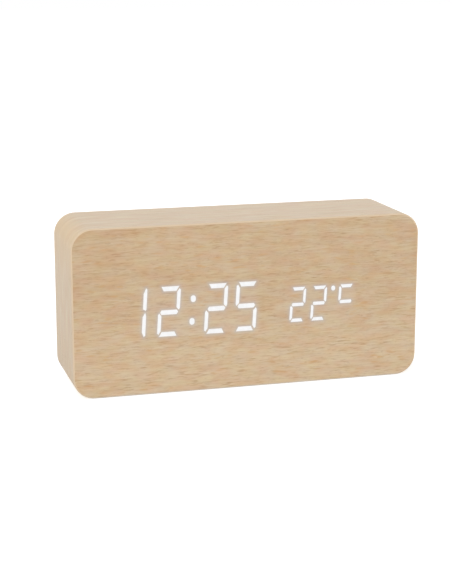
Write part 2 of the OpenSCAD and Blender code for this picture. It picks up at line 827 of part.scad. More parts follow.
module timing_crystal() {
    color("silver") translate([crystal_x, display_y1 + crystal_r, digit_z - crystal_l / 2])
        cylinder(r = crystal_r, h = crystal_l);
}
module display_screws() {
    color("silver") at_display_screws() pan_screw(display_y1, display_screw_l, 1);
}

// Ribbon cable and its connectors
module connector(y0, y1, z) {
    half = ribbon_w / 2 + connector_margin;
    box_between([ribbon_x - half, y0, z - connector_t / 2], [ribbon_x + half, y1, z + connector_t / 2]);
}
module ribbon_connectors() {
    color("ivory") {
        connector(display_y1, ribbon_y0, ribbon_high_z);
        connector(ribbon_y1, control_y0, ribbon_high_z - ribbon_drop);
    }
}
module ribbon_bend_piece() {
    rotate([0, 90, 0]) rotate_extrude(angle = 90)
        translate([ribbon_bend, -ribbon_w / 2]) square([ribbon_t, ribbon_w]);
}
module ribbon_cable() {
    mean = ribbon_bend + ribbon_t / 2;
    x0 = ribbon_x - ribbon_w / 2;
    x1 = ribbon_x + ribbon_w / 2;
    low_z = ribbon_high_z - ribbon_drop;
    color("lightgray") {
        box_between(
            [x0, ribbon_y0, ribbon_high_z - ribbon_t / 2],
            [x1, ribbon_mid_y - mean, ribbon_high_z + ribbon_t / 2]);
        translate([ribbon_x, ribbon_mid_y - mean, ribbon_high_z - mean])
            mirror([0, 0, 1]) ribbon_bend_piece();
        box_between(
            [x0, ribbon_mid_y - ribbon_t / 2, low_z + mean],
            [x1, ribbon_mid_y + ribbon_t / 2, ribbon_high_z - mean]);
        translate([ribbon_x, ribbon_mid_y + mean, low_z + mean])
            mirror([0, 1, 0]) ribbon_bend_piece();
        box_between([x0, ribbon_mid_y + mean, low_z - ribbon_t / 2], [x1, ribbon_y1, low_z + ribbon_t / 2]);
    }
}

// Control board and what stands on it
module control_board() {
    color("darkgreen") difference() {
        box_between(
            [board_x0, control_y0, mid_z - board_h / 2],
            [board_x1, control_y1, mid_z + board_h / 2]);
        at_board_screws() bar_y(0, 0, control_y0 - past, control_y1 + past, pan_shank_r + screw_fit);
    }
}
module board_screws() {
    color("silver") at_board_screws() pan_screw(control_y0, board_t + pan_screw_bite, -1);
}
module tact_switch_bodies() {
    color("dimgray") for (x = BUTTON_X) difference() {
        box_between(
            [board_x + x - tact_w / 2, control_y1, button_z - tact_w / 2],
            [board_x + x + tact_w / 2, control_y1 + tact_t, button_z + tact_w / 2]);
        bar_y(
            board_x + x, button_z, control_y1 + plunger_floor, control_y1 + tact_t + past,
            plunger_r + plunger_fit);
    }
}
module plunger(i) {
    color("black")
        bar_y(board_x + BUTTON_X[i], button_z, control_y1 + plunger_sunk, control_y1 + tact_h, plunger_r);
}
module usb_outline(shrink) {
    translate([usb_x, usb_z]) oblong(usb_w - 2 * shrink, usb_h - 2 * shrink);
}
module usb_socket() {
    color("silver") slab(control_y1, cover_y1 - usb_recess) difference() {
        usb_outline(0);
        usb_outline(usb_wall);
    }
}
module usb_tongue() {
    color("black") {
        slab(control_y1, control_y1 + usb_base) usb_outline(usb_wall + usb_seat);
        box_between(
            [usb_x - tongue_w / 2, control_y1 + usb_base / 2, usb_z - tongue_h / 2],
            [usb_x + tongue_w / 2, cover_y1 - usb_recess - tongue_recess, usb_z + tongue_h / 2]);
    }
}
module buzzer() {
    color("black") difference() {
        bar_y(buzzer_x, buzzer_z, control_y1, control_y1 + buzzer_h, buzzer_r);
        bar_y(buzzer_x, buzzer_z, control_y1 + buzzer_h / 2, control_y1 + buzzer_h + past, buzzer_hole_r);
    }
}
module microphone() {
    color("silver") difference() {
        bar_y(microphone_x, microphone_z, control_y1, control_y1 + microphone_h, microphone_r);
        bar_y(
            microphone_x, microphone_z, control_y1 + microphone_h - microphone_port_d,
            control_y1 + microphone_h + past, microphone_port_r);
    }
}
module temperature_sensor() {
    color("black") {
        translate([sensor_x, control_y1 + sensor_h, sensor_z]) sphere(sensor_r);
        for (s = [-1, 1])
            translate([s * sensor_leg_gap / 2, 0, 0])
                bar_y(sensor_x, sensor_z, control_y1, control_y1 + sensor_h, sensor_leg_r);
    }
}
module coin_cell_holder() {
    depth = coin_t + coin_floor;
    color("dimgray") difference() {
        bar_y(coin_x, coin_z, control_y0 - depth, control_y0, coin_r + coin_fit + coin_wall);
        bar_y(coin_x, coin_z, control_y0 - depth - past, control_y0 - coin_floor, coin_r + coin_fit);
        box_between(
            [coin_x - coin_notch_w / 2, control_y0 - depth - past, coin_z],
            [coin_x + coin_notch_w / 2, control_y0 - coin_floor, coin_z + 2 * coin_r]);
    }
}
module coin_cell() {
    color("silver")
        bar_y(coin_x, coin_z, control_y0 - coin_floor - coin_t, control_y0 - coin_floor, coin_r);
}

// Buttons
module mark(kind) {
    if (kind == "ring") difference() {
        circle(ring_r);
        circle(ring_r - ring_w);
    }
    if (kind == "up") polygon([[-arrow_half, -arrow_foot], [arrow_half, -arrow_foot], [0, arrow_tip]]);
    if (kind == "down") polygon([[-arrow_half, arrow_foot], [0, -arrow_tip], [arrow_half, arrow_foot]]);
}
module button(i, kind) {
    x = board_x + BUTTON_X[i];
    top = cover_y1 + button_proud;
    ease = 0.4;
    flange_y1 = cover_y0 - flange_gap;
    flange_y0 = flange_y1 - button_flange_t;
    color("dimgray") difference() {
        translate([x, 0, button_z]) rotate([-90, 0, 0]) rotate_extrude() polygon([
            [0, flange_y0 - button_stem], [plunger_r, flange_y0 - button_stem], [plunger_r, flange_y0],
            [button_r + button_flange, flange_y0], [button_r + button_flange, flange_y1],
            [button_r, flange_y1], [button_r, top - ease], [button_r - ease, top], [0, top]
        ]);
        slab(top - mark_depth, top + past) translate([x, button_z]) mark(kind);
    }
}

// Rear cover with the battery tray
module row_of_slots(x, z, count, length) {
    translate([x, z]) for (i = [0 : count - 1])
        translate([(i - (count - 1) / 2) * slot_pitch, 0]) square([slot_w, length], center = true);
}
module cover_openings() {
    for (x = BUTTON_X) translate([board_x + x, button_z]) circle(button_r + button_fit);
    usb_outline(-usb_fit);
    row_of_slots(sensor_x, sensor_z, vent_count, vent_l);
    row_of_slots(buzzer_x, buzzer_z, sound_slot_count, sound_slot_l);
    row_of_slots(microphone_x, microphone_z, 1, 2 * microphone_r);
}
module solder_tab(x0, x1, z, extra) {
    y = tab_t / 2 + extra;
    half = tab_w / 2 + extra;
    box_between([x0, tab_y - y, z - half], [x1, tab_y + y, z + half]);
}
module tray_tab_slots() {
    solder_tab(tray_x0 - tray_wall - past, tray_x0 + past, red_z, tab_fit);
    solder_tab(tray_x1 - past, tray_x1 + tray_wall + past, black_z, tab_fit);
}
module rear_cover() {
    color("dimgray") difference() {
        union() {
            slab(cover_y0, cover_y1) cover_outline(0);
            box_at_middle(
                tray_x0 - tray_wall, tray_x1 + tray_wall, tray_floor_y - tray_wall, cover_y0 + past,
                tray_h + 2 * tray_wall);
            at_board_screws() bar_y(0, 0, control_y1, cover_y0 + past, boss_r);
        }
        slab(cover_y0 - past, cover_y1 + past) cover_openings();
        box_at_middle(tray_x0, tray_x1, tray_floor_y, cover_y1 + past, tray_h);
        box_at_middle(rebate_x0, rebate_x1, door_y0 - door_seat, cover_y1 + past, rebate_h);
        rod_at_middle(hinge_x, hinge_y, rebate_h, groove_r);
        rod_at_middle(hinge_x, hinge_y, rebate_h + 2 * hinge_pin_l, hinge_pin_r + hinge_fit);
        tray_tab_slots();
        bar_y(rebate_x1, mid_z, cover_y1 - notch_depth, cover_y1 + past, notch_r);
        at_cover_screws() countersunk_hole(cover_y1);
        at_board_screws()
            bar_y(0, 0, control_y1 - past, control_y1 + pan_screw_bite + past, pan_shank_r + screw_fit);
    }
}
module cover_screws() {
    color("silver") at_cover_screws() countersunk_screw(cover_y1);
}

// Battery cells and contacts
module cell() {
    r = cell_d / 2;
    ease = 0.5;
    rotate([0, 90, 0]) rotate_extrude() polygon([
        [0, 0], [r - ease, 0], [r, ease], [r, cell_l - terminal_h - ease], [r - ease, cell_l - terminal_h],
        [terminal_r, cell_l - terminal_h], [terminal_r, cell_l], [0, cell_l]
    ]);
}
module along_row(row, x_left, x_right) {
    translate([row == 0 ? x_left : x_right, cell_y, mid_z + row * cell_pitch])
        mirror([row == 0 ? 0 : 1, 0, 0]) children();
}
module aaa_cells() {
    color("steelblue") for (row = CELL_ROWS)
        along_row(row, tray_x0 + contact_t + spring_l, tray_x1 - contact_t - spring_l) cell();
}
module battery_springs() {
    color("silver") for (row = CELL_ROWS)
        along_row(row, tray_x0 + contact_t, tray_x1 - contact_t)
            tube(SPRING_LINE, spring_wire_r, SPRING_SIDES, [1, 0, 0]);
}
module contact(x, row) {
    z = mid_z + row * cell_pitch;
    box_between([x, contact_y0, z - contact_half_z], [x + contact_t, contact_y1, z + contact_half_z]);
}
module contact_bridge(x, low_row) {
    z = mid_z + low_row * cell_pitch;
    box_between([x, contact_y0, z], [x + contact_t, bridge_y1, z + cell_pitch]);
}
module contact_plates() {
    right = tray_x1 - contact_t;
    color("silver") {
        for (row = CELL_ROWS, x = [tray_x0, right]) contact(x, row);
        contact_bridge(tray_x0, -1);
        contact_bridge(right, 0);
        solder_tab(red_x, tray_x0 + contact_t / 2, red_z, 0);
        solder_tab(right + contact_t / 2, black_x, black_z, 0);
    }
}
module red_lead() {
    color("red") tube(RED_ROUTE, lead_r, LEAD_SIDES, [0, 0, 1]);
}
module black_lead() {
    color("black") tube(BLACK_ROUTE, lead_r, LEAD_SIDES, [0, 0, 1]);
}

// Battery door
module latch_tab(z) {
    x1 = tray_x1 - latch_gap;
    half = latch_w / 2;
    box_between([x1 - latch_t, door_y0 - latch_l, z - half], [x1, door_y0 + door_t / 2, z + half]);
    translate([x1 - latch_bead_sink, door_y0 - latch_l + latch_bead_rise, z - half])
        cylinder(r = latch_bead_r, h = latch_w);
}
module battery_door() {
    color("dimgray") difference() {
        union() {
            box_at_middle(hinge_x, door_x1, door_y0, cover_y1, door_h);
            rod_at_middle(hinge_x, hinge_y, door_h, knuckle_r);
            rod_at_middle(hinge_x, hinge_y, door_h + 2 * hinge_pin_l, hinge_pin_r);
            for (s = [-1, 1]) latch_tab(mid_z + s * cell_pitch / 2);
        }
        for (i = GRIPS)
            rod_at_middle(door_x1 - grip_inset - i * grip_pitch, cover_y1, grip_l, grip_r);
    }
}

case_frame();
front_board();
front_veneer();
edge_band();
back_veneer();
light_box();
display_board();
led_chips();
lens() time_digit(hour_tens_x, ONE);  // hour_tens_lens
lens() time_digit(hour_ones_x, TWO);  // hour_ones_lens
lens() colon_dots();  // colon_lens
lens() time_digit(minute_tens_x, TWO);  // minute_tens_lens
lens() time_digit(minute_ones_x, FIVE);  // minute_ones_lens
lens() degree_digit(degree_tens_x, TWO);  // degree_tens_lens
lens() degree_digit(degree_ones_x, TWO);  // degree_ones_lens
lens() degree_dot();  // degree_dot_lens
lens() degree_digit(unit_x, RAISED_C);  // unit_lens
clock_chip();
clock_chip_legs();
timing_crystal();
display_screws();
ribbon_cable();
ribbon_connectors();
control_board();
board_screws();
tact_switch_bodies();
usb_socket();
usb_tongue();
buzzer();
microphone();
temperature_sensor();
coin_cell_holder();
coin_cell();
rear_cover();
cover_screws();
button(0, "ring");  // set_button
button(1, "up");  // up_button
button(2, "down");  // down_button
plunger(0);  // set_plunger
plunger(1);  // up_plunger
plunger(2);  // down_plunger
aaa_cells();
battery_springs();
contact_plates();
red_lead();
black_lead();
battery_door();
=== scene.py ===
# %% [markdown]
# # A desk clock in pale wood veneer
# The clock is a small box wrapped in veneer. White digits shine out of its front, and a black
# moulded cover closes its back. The solids come from CAD and stay where they are. This script
# gives every one of them a finish, and remodels the pieces whose edges, rims or windings show.

# %% Load the solids
import math

import bmesh
import bpy
from mathutils import Matrix, Vector
from mathutils.bvhtree import BVHTree


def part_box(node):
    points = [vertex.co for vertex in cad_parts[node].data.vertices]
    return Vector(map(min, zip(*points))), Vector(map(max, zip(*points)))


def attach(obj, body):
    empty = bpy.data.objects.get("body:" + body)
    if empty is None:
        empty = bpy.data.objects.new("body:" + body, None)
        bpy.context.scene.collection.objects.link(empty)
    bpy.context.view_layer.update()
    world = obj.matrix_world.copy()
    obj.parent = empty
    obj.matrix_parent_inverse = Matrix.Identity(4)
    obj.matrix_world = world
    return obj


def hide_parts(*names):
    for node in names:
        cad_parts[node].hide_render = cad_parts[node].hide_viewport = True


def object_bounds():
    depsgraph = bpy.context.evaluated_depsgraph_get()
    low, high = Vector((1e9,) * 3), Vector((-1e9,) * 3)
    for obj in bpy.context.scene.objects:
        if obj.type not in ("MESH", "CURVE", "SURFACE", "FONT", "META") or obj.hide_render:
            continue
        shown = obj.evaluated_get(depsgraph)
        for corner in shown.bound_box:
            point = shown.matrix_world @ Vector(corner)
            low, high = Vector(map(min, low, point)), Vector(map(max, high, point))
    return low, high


MM = 0.001

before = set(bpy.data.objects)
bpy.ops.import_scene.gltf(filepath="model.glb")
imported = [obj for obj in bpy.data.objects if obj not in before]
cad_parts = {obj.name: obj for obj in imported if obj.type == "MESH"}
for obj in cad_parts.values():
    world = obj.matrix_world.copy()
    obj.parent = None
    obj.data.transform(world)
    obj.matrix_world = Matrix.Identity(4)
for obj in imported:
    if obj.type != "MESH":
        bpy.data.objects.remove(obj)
cad_low, cad_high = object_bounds()
print("solids:", len(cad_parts), "box in mm:", [round(x / MM, 1) for x in cad_high - cad_low])

# %% [markdown]
# ## The camera
# The photograph was taken a little from the left and a little from above. Its box edges converge,
# so the camera is a real lens at a real distance rather than a flat projection. The angle, distance
# and focal length were solved from the outline of the box.

# %% Camera
IMAGE_HEIGHT = 584
FOCAL_PIXELS = 1485.9
SENSOR = 36
CAMERA_TURN = math.radians(-15.75)
CAMERA_RISE = math.radians(13.01)
CAMERA_DISTANCE = 637.5 * MM
CAMERA_TARGET = Vector((-4.6, 0, 36.7)) * MM
CLIP_NEAR = 10 * MM
CLIP_FAR = 100

scene = bpy.context.scene
scene.view_settings.view_transform = "Standard"
lens_data = bpy.data.cameras.new("camera")
lens_data.sensor_width = SENSOR
lens_data.lens = FOCAL_PIXELS * SENSOR / IMAGE_HEIGHT
lens_data.clip_start = CLIP_NEAR
lens_data.clip_end = CLIP_FAR
camera = bpy.data.objects.new("camera", lens_data)
scene.collection.objects.link(camera)
towards_camera = Vector((
    math.sin(CAMERA_TURN) * math.cos(CAMERA_RISE),
    -math.cos(CAMERA_TURN) * math.cos(CAMERA_RISE),
    math.sin(CAMERA_RISE),
))
camera.location = CAMERA_TARGET + CAMERA_DISTANCE * towards_camera
camera.rotation_euler = towards_camera.to_track_quat("Z", "Y").to_euler()
scene.camera = camera
print("lens in mm:", round(lens_data.lens, 2))

# %% [markdown]
# ## Helpers for shaders
# Every finish is a small tree of shader nodes. A tree can be wired by hand in the editor, but in
# code the same few moves repeat: make a node, set or link its inputs, pass its output on. These
# helpers do those moves. Colours are written as a paint chart gives them, 0 to 255, and turned
# into the linear values that the shader adds up.

# %% Tones and nodes
def tone(red, green, blue):
    """A colour from 0 to 255 as linear red, green, blue and alpha."""
    def linear(value):
        share = value / 255
        return share / 12.92 if share <= 0.04045 else ((share + 0.055) / 1.055) ** 2.4
    return (linear(red), linear(green), linear(blue), 1)


def connect(tree, node, inputs):
    """Sets or links a node's inputs, by name or by number."""
    for key, value in inputs.items():
        if isinstance(value, bpy.types.NodeSocket):
            tree.links.new(value, node.inputs[key])
        else:
            node.inputs[key].default_value = value


def put(tree, kind, inputs=None, **settings):
    """Adds a node, sets its options, then its inputs."""
    made = tree.nodes.new(kind)
    for name, value in settings.items():
        setattr(made, name, value)
    connect(tree, made, inputs or {})
    return made


print("mid grey in linear light:", round(tone(128, 128, 128)[0], 3))

# %% [markdown]
# ## Sums and patterns
# Most of a finish is arithmetic. A noise is drawn out by scaling the coordinates that it reads, cut
# to a soft mask, and the mask blends two colours. Each helper adds the one node for such a step and
# returns its output, so that the steps nest like a formula. Patterns are measured in millimetres on
# the piece itself, which keeps their scale true on every part.

# %% Sums
# A Mix node has sockets for every kind of data, and these are the ones for colours.
MIX_SHARE = 0
MIX_FIRST = 6
MIX_SECOND = 7
MIX_RESULT = 2


def calc(tree, operation, first, second=0.0):
    made = put(tree, "ShaderNodeMath", {0: first, 1: second}, operation=operation)
    return made.outputs[0]


def times(tree, first, second):
    return calc(tree, "MULTIPLY", first, second)


def blend_colours(tree, share, first, second):
    sockets = {MIX_SHARE: share, MIX_FIRST: first, MIX_SECOND: second}
    return put(tree, "ShaderNodeMix", sockets, data_type="RGBA").outputs[MIX_RESULT]


def between(tree, value, low, high, out_low=0.0, out_high=1.0):
    """Maps low..high smoothly to out_low..out_high."""
    sockets = {"Value": value, 1: low, 2: high, 3: out_low, 4: out_high}
    return put(tree, "ShaderNodeMapRange", sockets, interpolation_type="SMOOTHSTEP").outputs[0]


print("helpers for sums: calc, times, blend_colours, between")

# %% Places and noise
def scaled(tree, vector, factors):
    made = put(tree, "ShaderNodeVectorMath", {0: vector, 1: factors}, operation="MULTIPLY")
    return made.outputs[0]


def moved(tree, vector, offset):
    made = put(tree, "ShaderNodeVectorMath", {0: vector, 1: offset}, operation="ADD")
    return made.outputs[0]


def noise(tree, vector, detail=2.0, roughness=0.5):
    sockets = {"Vector": vector, "Scale": 1.0, "Detail": detail, "Roughness": roughness}
    return put(tree, "ShaderNodeTexNoise", sockets).outputs[0]


def millimetres(tree):
    """The piece's own coordinates, in millimetres."""
    place = put(tree, "ShaderNodeTexCoord").outputs["Object"]
    return scaled(tree, place, (1 / MM, 1 / MM, 1 / MM))


print("helpers for patterns: scaled, moved, noise, millimetres")

# %% Groups and materials
COLOUR = "NodeSocketColor"
VALUE = "NodeSocketFloat"
VECTOR = "NodeSocketVector"


def new_group(name, inputs, outputs):
    """A shader node group with its sockets made, and the nodes that stand for its ends."""
    group = bpy.data.node_groups.new(name, "ShaderNodeTree")
    for socket, kind, usual in inputs:
        made = group.interface.new_socket(name=socket, in_out="INPUT", socket_type=kind)
        if usual is not None:
            made.default_value = usual
    for socket, kind in outputs:
        group.interface.new_socket(name=socket, in_out="OUTPUT", socket_type=kind)
    return group, group.nodes.new("NodeGroupInput"), group.nodes.new("NodeGroupOutput")


def new_material(name):
    """A material with a Principled shader, its tree and that shader."""
    material = bpy.data.materials.new(name)
    material.use_nodes = True
    tree = material.node_tree
    return material, tree, tree.nodes["Principled BSDF"]


def raised(tree, shader, height, depth):
    """Lets a height, 0 to 1, stand for a relief of that depth in metres."""
    bump = put(tree, "ShaderNodeBump", {"Strength": 1.0, "Distance": depth, "Height": height})
    connect(tree, shader, {"Normal": bump.outputs[0]})


print("helpers for finishes: new_group, new_material, raised")

# %% [markdown]
# ## Floor and light
# A product photograph like this one is made in a white tent: light comes from everywhere, and a few
# soft lamps give the box its shape. The world stands for the tent. The floor is pale, and to the
# camera it glows a little, so that it burns out to white around the faint shadow that it keeps. Seen
# from below it is clear, and so is it to rays that leave a surface resting on it, so the base of the
# clock can be looked at and isn't black.

# %% White tent
WHITE = (1, 1, 1, 1)
WORLD_LEVEL = 0.6

world = bpy.data.worlds.new("white_tent")
scene.world = world
world.use_nodes = True
tent = world.node_tree
tent.nodes.clear()
ray = put(tent, "ShaderNodeLightPath")
seen = calc(tent, "MAXIMUM", ray.outputs["Is Camera Ray"], ray.outputs["Is Glossy Ray"])
seen = calc(tent, "MAXIMUM", seen, ray.outputs["Is Transmission Ray"])
tent_level = between(tent, seen, 0.0, 1.0, WORLD_LEVEL, 1.0)
tent_light = put(tent, "ShaderNodeBackground", {"Color": WHITE, "Strength": tent_level})
put(tent, "ShaderNodeOutputWorld", {"Surface": tent_light.outputs[0]})
print("tent nodes:", len(tent.nodes))

# %% Floor
FLOOR_REACH = 4

floor_bm = bmesh.new()
bmesh.ops.create_grid(floor_bm, x_segments=1, y_segments=1, size=FLOOR_REACH)
floor_mesh = bpy.data.meshes.new("floor")
floor_bm.to_mesh(floor_mesh)
floor_bm.free()
floor = bpy.data.objects.new("floor", floor_mesh)
scene.collection.objects.link(floor)
print("floor size in m:", 2 * FLOOR_REACH)

# %% Floor finish
FLOOR_TONE = tone(224, 224, 224)
FLOOR_GLOW = 0.6
MIRRORED_GLOW = 0.2
RESTING_WITHIN = 3 * MM

floor_material = bpy.data.materials.new("pale_floor")
floor_material.use_nodes = True
tree = floor_material.node_tree
tree.nodes.clear()
ray = put(tree, "ShaderNodeLightPath")
mirrored = calc(tree, "MAXIMUM", ray.outputs["Is Glossy Ray"], ray.outputs["Is Transmission Ray"])
looked_at = times(tree, ray.outputs["Is Camera Ray"], FLOOR_GLOW)
glow_level = calc(tree, "MAXIMUM", looked_at, times(tree, mirrored, MIRRORED_GLOW))
matt = put(tree, "ShaderNodeBsdfDiffuse", {"Color": FLOOR_TONE})
glow = put(tree, "ShaderNodeEmission", {"Color": WHITE, "Strength": glow_level})
lit = put(tree, "ShaderNodeAddShader", {0: matt.outputs[0], 1: glow.outputs[0]})
clear = put(tree, "ShaderNodeBsdfTransparent")
behind = put(tree, "ShaderNodeNewGeometry").outputs["Backfacing"]
resting = calc(tree, "LESS_THAN", ray.outputs["Ray Length"], RESTING_WITHIN)
unseen = calc(tree, "MAXIMUM", behind, resting)
sided = put(tree, "ShaderNodeMixShader", {0: unseen, 1: lit.outputs[0], 2: clear.outputs[0]})
put(tree, "ShaderNodeOutputMaterial", {"Surface": sided.outputs[0]})
floor_mesh.materials.append(floor_material)
print("floor nodes:", len(tree.nodes))

# %% Lamps
LAMP_SIZE = 0.9
LAMPS = {
    "key_lamp": ((-0.68, -1.00, 0.42), 5.3),
    "fill_lamp": ((1.15, -0.55, 0.22), 5.0),
    "back_lamp": ((-0.42, 1.00, 0.72), 5.6)}

middle = (cad_low + cad_high) / 2
for name, (place, watts) in LAMPS.items():
    lamp_data = bpy.data.lights.new(name, "AREA")
    lamp_data.shape = "DISK"
    lamp_data.size = LAMP_SIZE
    lamp_data.energy = watts
    lamp = bpy.data.objects.new(name, lamp_data)
    scene.collection.objects.link(lamp)
    lamp.visible_glossy = False
    lamp.location = place
    lamp.rotation_euler = (Vector(place) - middle).to_track_quat("Z", "Y").to_euler()

# %% [markdown]
# ## Making a piece
# A new piece starts as a bmesh, is shaped by operators, and is then written to a mesh object that
# stays at the origin. Its faces are smoothed, apart from edges that turn by more than a set angle.
# A piece made from a solid starts from a welded copy of that solid, because the solid itself is
# loose triangles and is never changed.

# %% Piece helpers
SMOOTH_BELOW = math.radians(32)


def make_piece(name, bm, materials, body="case", stands_for=()):
    """Writes a bmesh to a piece that rides on a body."""
    mesh = bpy.data.meshes.new(name)
    bm.to_mesh(mesh)
    bm.free()
    for material in materials:
        mesh.materials.append(material)
    mesh.shade_smooth()
    mesh.set_sharp_from_angle(angle=SMOOTH_BELOW)
    piece = bpy.data.objects.new(name, mesh)
    scene.collection.objects.link(piece)
    even = piece.modifiers.new("even_normals", "WEIGHTED_NORMAL")
    even.keep_sharp = True
    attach(piece, body)
    if stands_for:
        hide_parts(*stands_for)
    print(name, "faces:", len(mesh.polygons))


def dress(nodes, material):
    """Gives the solids of these nodes one finish."""
    for node in nodes:
        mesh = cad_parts[node].data
        mesh.materials.clear()
        mesh.materials.append(material)
    print(material.name, "on", ", ".join(nodes))


print("edges stay sharp above degrees:", round(math.degrees(SMOOTH_BELOW)))

# %% Shape helpers
WELD = 0.002 * MM
NEARLY = 5 * WELD
FLAT_BELOW = math.radians(0.5)
SHARP_ABOVE = math.radians(40)


def copy_of(node):
    """A welded copy of a solid, with the triangles of each flat face joined."""
    bm = bmesh.new()
    bm.from_mesh(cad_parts[node].data)
    bmesh.ops.remove_doubles(bm, verts=bm.verts, dist=WELD)
    bmesh.ops.dissolve_limit(bm, angle_limit=FLAT_BELOW, verts=bm.verts, edges=bm.edges)
    return bm


def rims(bm, plane):
    """The sharp outward edges that lie in the upright plane at that Y."""
    found = []
    for edge in bm.edges:
        flat = all(abs(v.co.y - plane) < NEARLY for v in edge.verts)
        if flat and len(edge.link_faces) == 2 and edge.calc_face_angle_signed(0) > SHARP_ABOVE:
            found.append(edge)
    return found


def ease(bm, edges, width, steps=2):
    bmesh.ops.bevel(
        bm, geom=edges, offset=width, offset_type="OFFSET", segments=steps,
        profile=0.5, affect="EDGES", clamp_overlap=True, material=-1)


def front_grid(bm, middle, width, height, across=1, up=1):
    """An upright grid that faces the front."""
    bmesh.ops.create_grid(
        bm, x_segments=across, y_segments=up, size=0.5,
        matrix=Matrix.Translation(middle) @ Matrix.Rotation(math.pi / 2, 4, "X")
        @ Matrix.Diagonal((width, height, 1, 1)))


def move_new(bm, geom, offset):
    """Moves the vertices among the parts that an extrusion made."""
    verts = [g for g in geom if isinstance(g, bmesh.types.BMVert)]
    bmesh.ops.translate(bm, vec=offset, verts=verts)


def open_edges(bm):
    return [e for e in bm.edges if e.is_boundary]


print("points weld within mm:", round(WELD / MM, 4))

# %% [markdown]
# ## Veneer
# The case is covered in a thin sheet of pale wood. Its figure is made of layers: broad bands of
# lighter and darker wood, fine streaks, short brown dashes and golden flecks that gather in patches,
# and fine pores, all drawn out along the grain and wandering a little across it. Two slow drifts, one
# to red and one to yellow, keep the hue from being even. One node group makes that figure from
# coordinates whose X runs along the grain, so the front, the back and the wrapped band share it.

# %% Veneer layers
BEND_SCALE = (0.022, 0.045, 0.02)

veneer, start, end = new_group(
    "veneer_figure",
    [("Along grain", VECTOR, None), ("Wander", VALUE, 1.6), ("Pale", COLOUR, None),
     ("Body", COLOUR, None), ("Warm", COLOUR, tone(187, 149, 111)),
     ("Golden", COLOUR, tone(208, 167, 119)), ("Pore", COLOUR, tone(163, 121, 86)),
     ("Dash strength", VALUE, 0.7), ("Pore strength", VALUE, 0.35)],
    [("Color", COLOUR), ("Roughness", VALUE), ("Height", VALUE)])
given = start.outputs
bend = noise(veneer, scaled(veneer, given["Along grain"], BEND_SCALE), detail=1.0)
bend = times(veneer, calc(veneer, "SUBTRACT", bend, 0.5), given["Wander"])
across = put(veneer, "ShaderNodeCombineXYZ", {"Y": bend}).outputs[0]
grain = moved(veneer, given["Along grain"], across)


def layer(factors, offset, detail, roughness=0.5):
    """Noise drawn out along the grain by its factors; the offset keeps it apart from other layers."""
    drawn_out = moved(veneer, scaled(veneer, grain, factors), (offset, 2 * offset, 0.0))
    return noise(veneer, drawn_out, detail=detail, roughness=roughness)


broad = layer((0.045, 0.42, 0.3), 0.0, 4.0, 0.65)
streak = layer((0.11, 1.9, 0.5), 3.7, 3.0, 0.6)
dash = layer((0.2, 1.8, 0.5), 11.3, 1.0)
fleck = layer((0.17, 0.65, 0.4), 5.9, 1.0)
patch = layer((0.05, 0.11, 0.05), 7.3, 2.0)
pores = layer((0.4, 4.4, 1.0), 23.9, 1.0)
print("nodes for the layers:", len(veneer.nodes))

# %% Veneer colours
fibre = calc(veneer, "ADD", times(veneer, broad, 0.5), times(veneer, streak, 0.5))
tint = blend_colours(veneer, between(veneer, fibre, 0.36, 0.64), given["Pale"], given["Body"])
flecked = times(veneer, between(veneer, fleck, 0.56, 0.76), between(veneer, patch, 0.6, 0.4))
gathered = between(veneer, patch, 0.35, 0.65, 0.25, 1.0)
dashed = times(veneer, between(veneer, dash, 0.54, 0.74), gathered)
pored = between(veneer, pores, 0.6, 0.74)
for share, strength, colour in (
        (flecked, "Dash strength", "Golden"),
        (dashed, "Dash strength", "Warm"),
        (pored, "Pore strength", "Pore")):
    tint = blend_colours(veneer, times(veneer, share, given[strength]), tint, given[colour])
print("nodes with the colours:", len(veneer.nodes))

# %% Veneer hue and gloss
GREENER = (1.005, 1.05, 1.065, 1)
REDDER = (0.998, 0.944, 0.92, 1)
BLUER = (1.0, 1.0, 1.045, 1)
YELLOWER = (1.0, 1.0, 0.955, 1)
HUE_FACTORS = (0.13, 0.25, 0.1)
VENEER_GLOSS = (0.36, 0.5)

blush = layer(HUE_FACTORS, 19.1, 1.0)
amber = layer(HUE_FACTORS, 31.7, 1.0)
blush_tint = blend_colours(veneer, between(veneer, blush, 0.33, 0.7), GREENER, REDDER)
amber_tint = blend_colours(veneer, between(veneer, amber, 0.3, 0.7), BLUER, YELLOWER)
tint = scaled(veneer, scaled(veneer, tint, blush_tint), amber_tint)
relief = calc(veneer, "SUBTRACT", streak, pored)
connect(veneer, end, {
    "Color": tint,
    "Roughness": between(veneer, streak, 0.2, 0.8, *VENEER_GLOSS),
    "Height": between(veneer, relief, -1.0, 1.0)})
print("nodes in all:", len(veneer.nodes))

# %% [markdown]
# ## Front and back sheets
# Both sheets have level grain, are a little deeper in colour at one end, and are painted a little
# paler toward the base, as painted light. On the front, light from the digits also spreads faintly in
# the wood between them. It could be traced through a translucent sheet, but for so faint a glow it is
# enough to lighten a soft block of veneer round each group of digits. The lens solids say where the
# groups lie.

# %% Spilled light
DIGITS = {
    "time": ["hour_tens", "hour_ones", "colon", "minute_tens", "minute_ones"],
    "degree": ["degree_tens", "degree_ones", "degree_dot", "unit"]}
SPILL = 0.055
SPILL_TONE = tone(235, 238, 245)
SPILL_INSIDE = -1.5
SPILL_OUTSIDE = 3.0


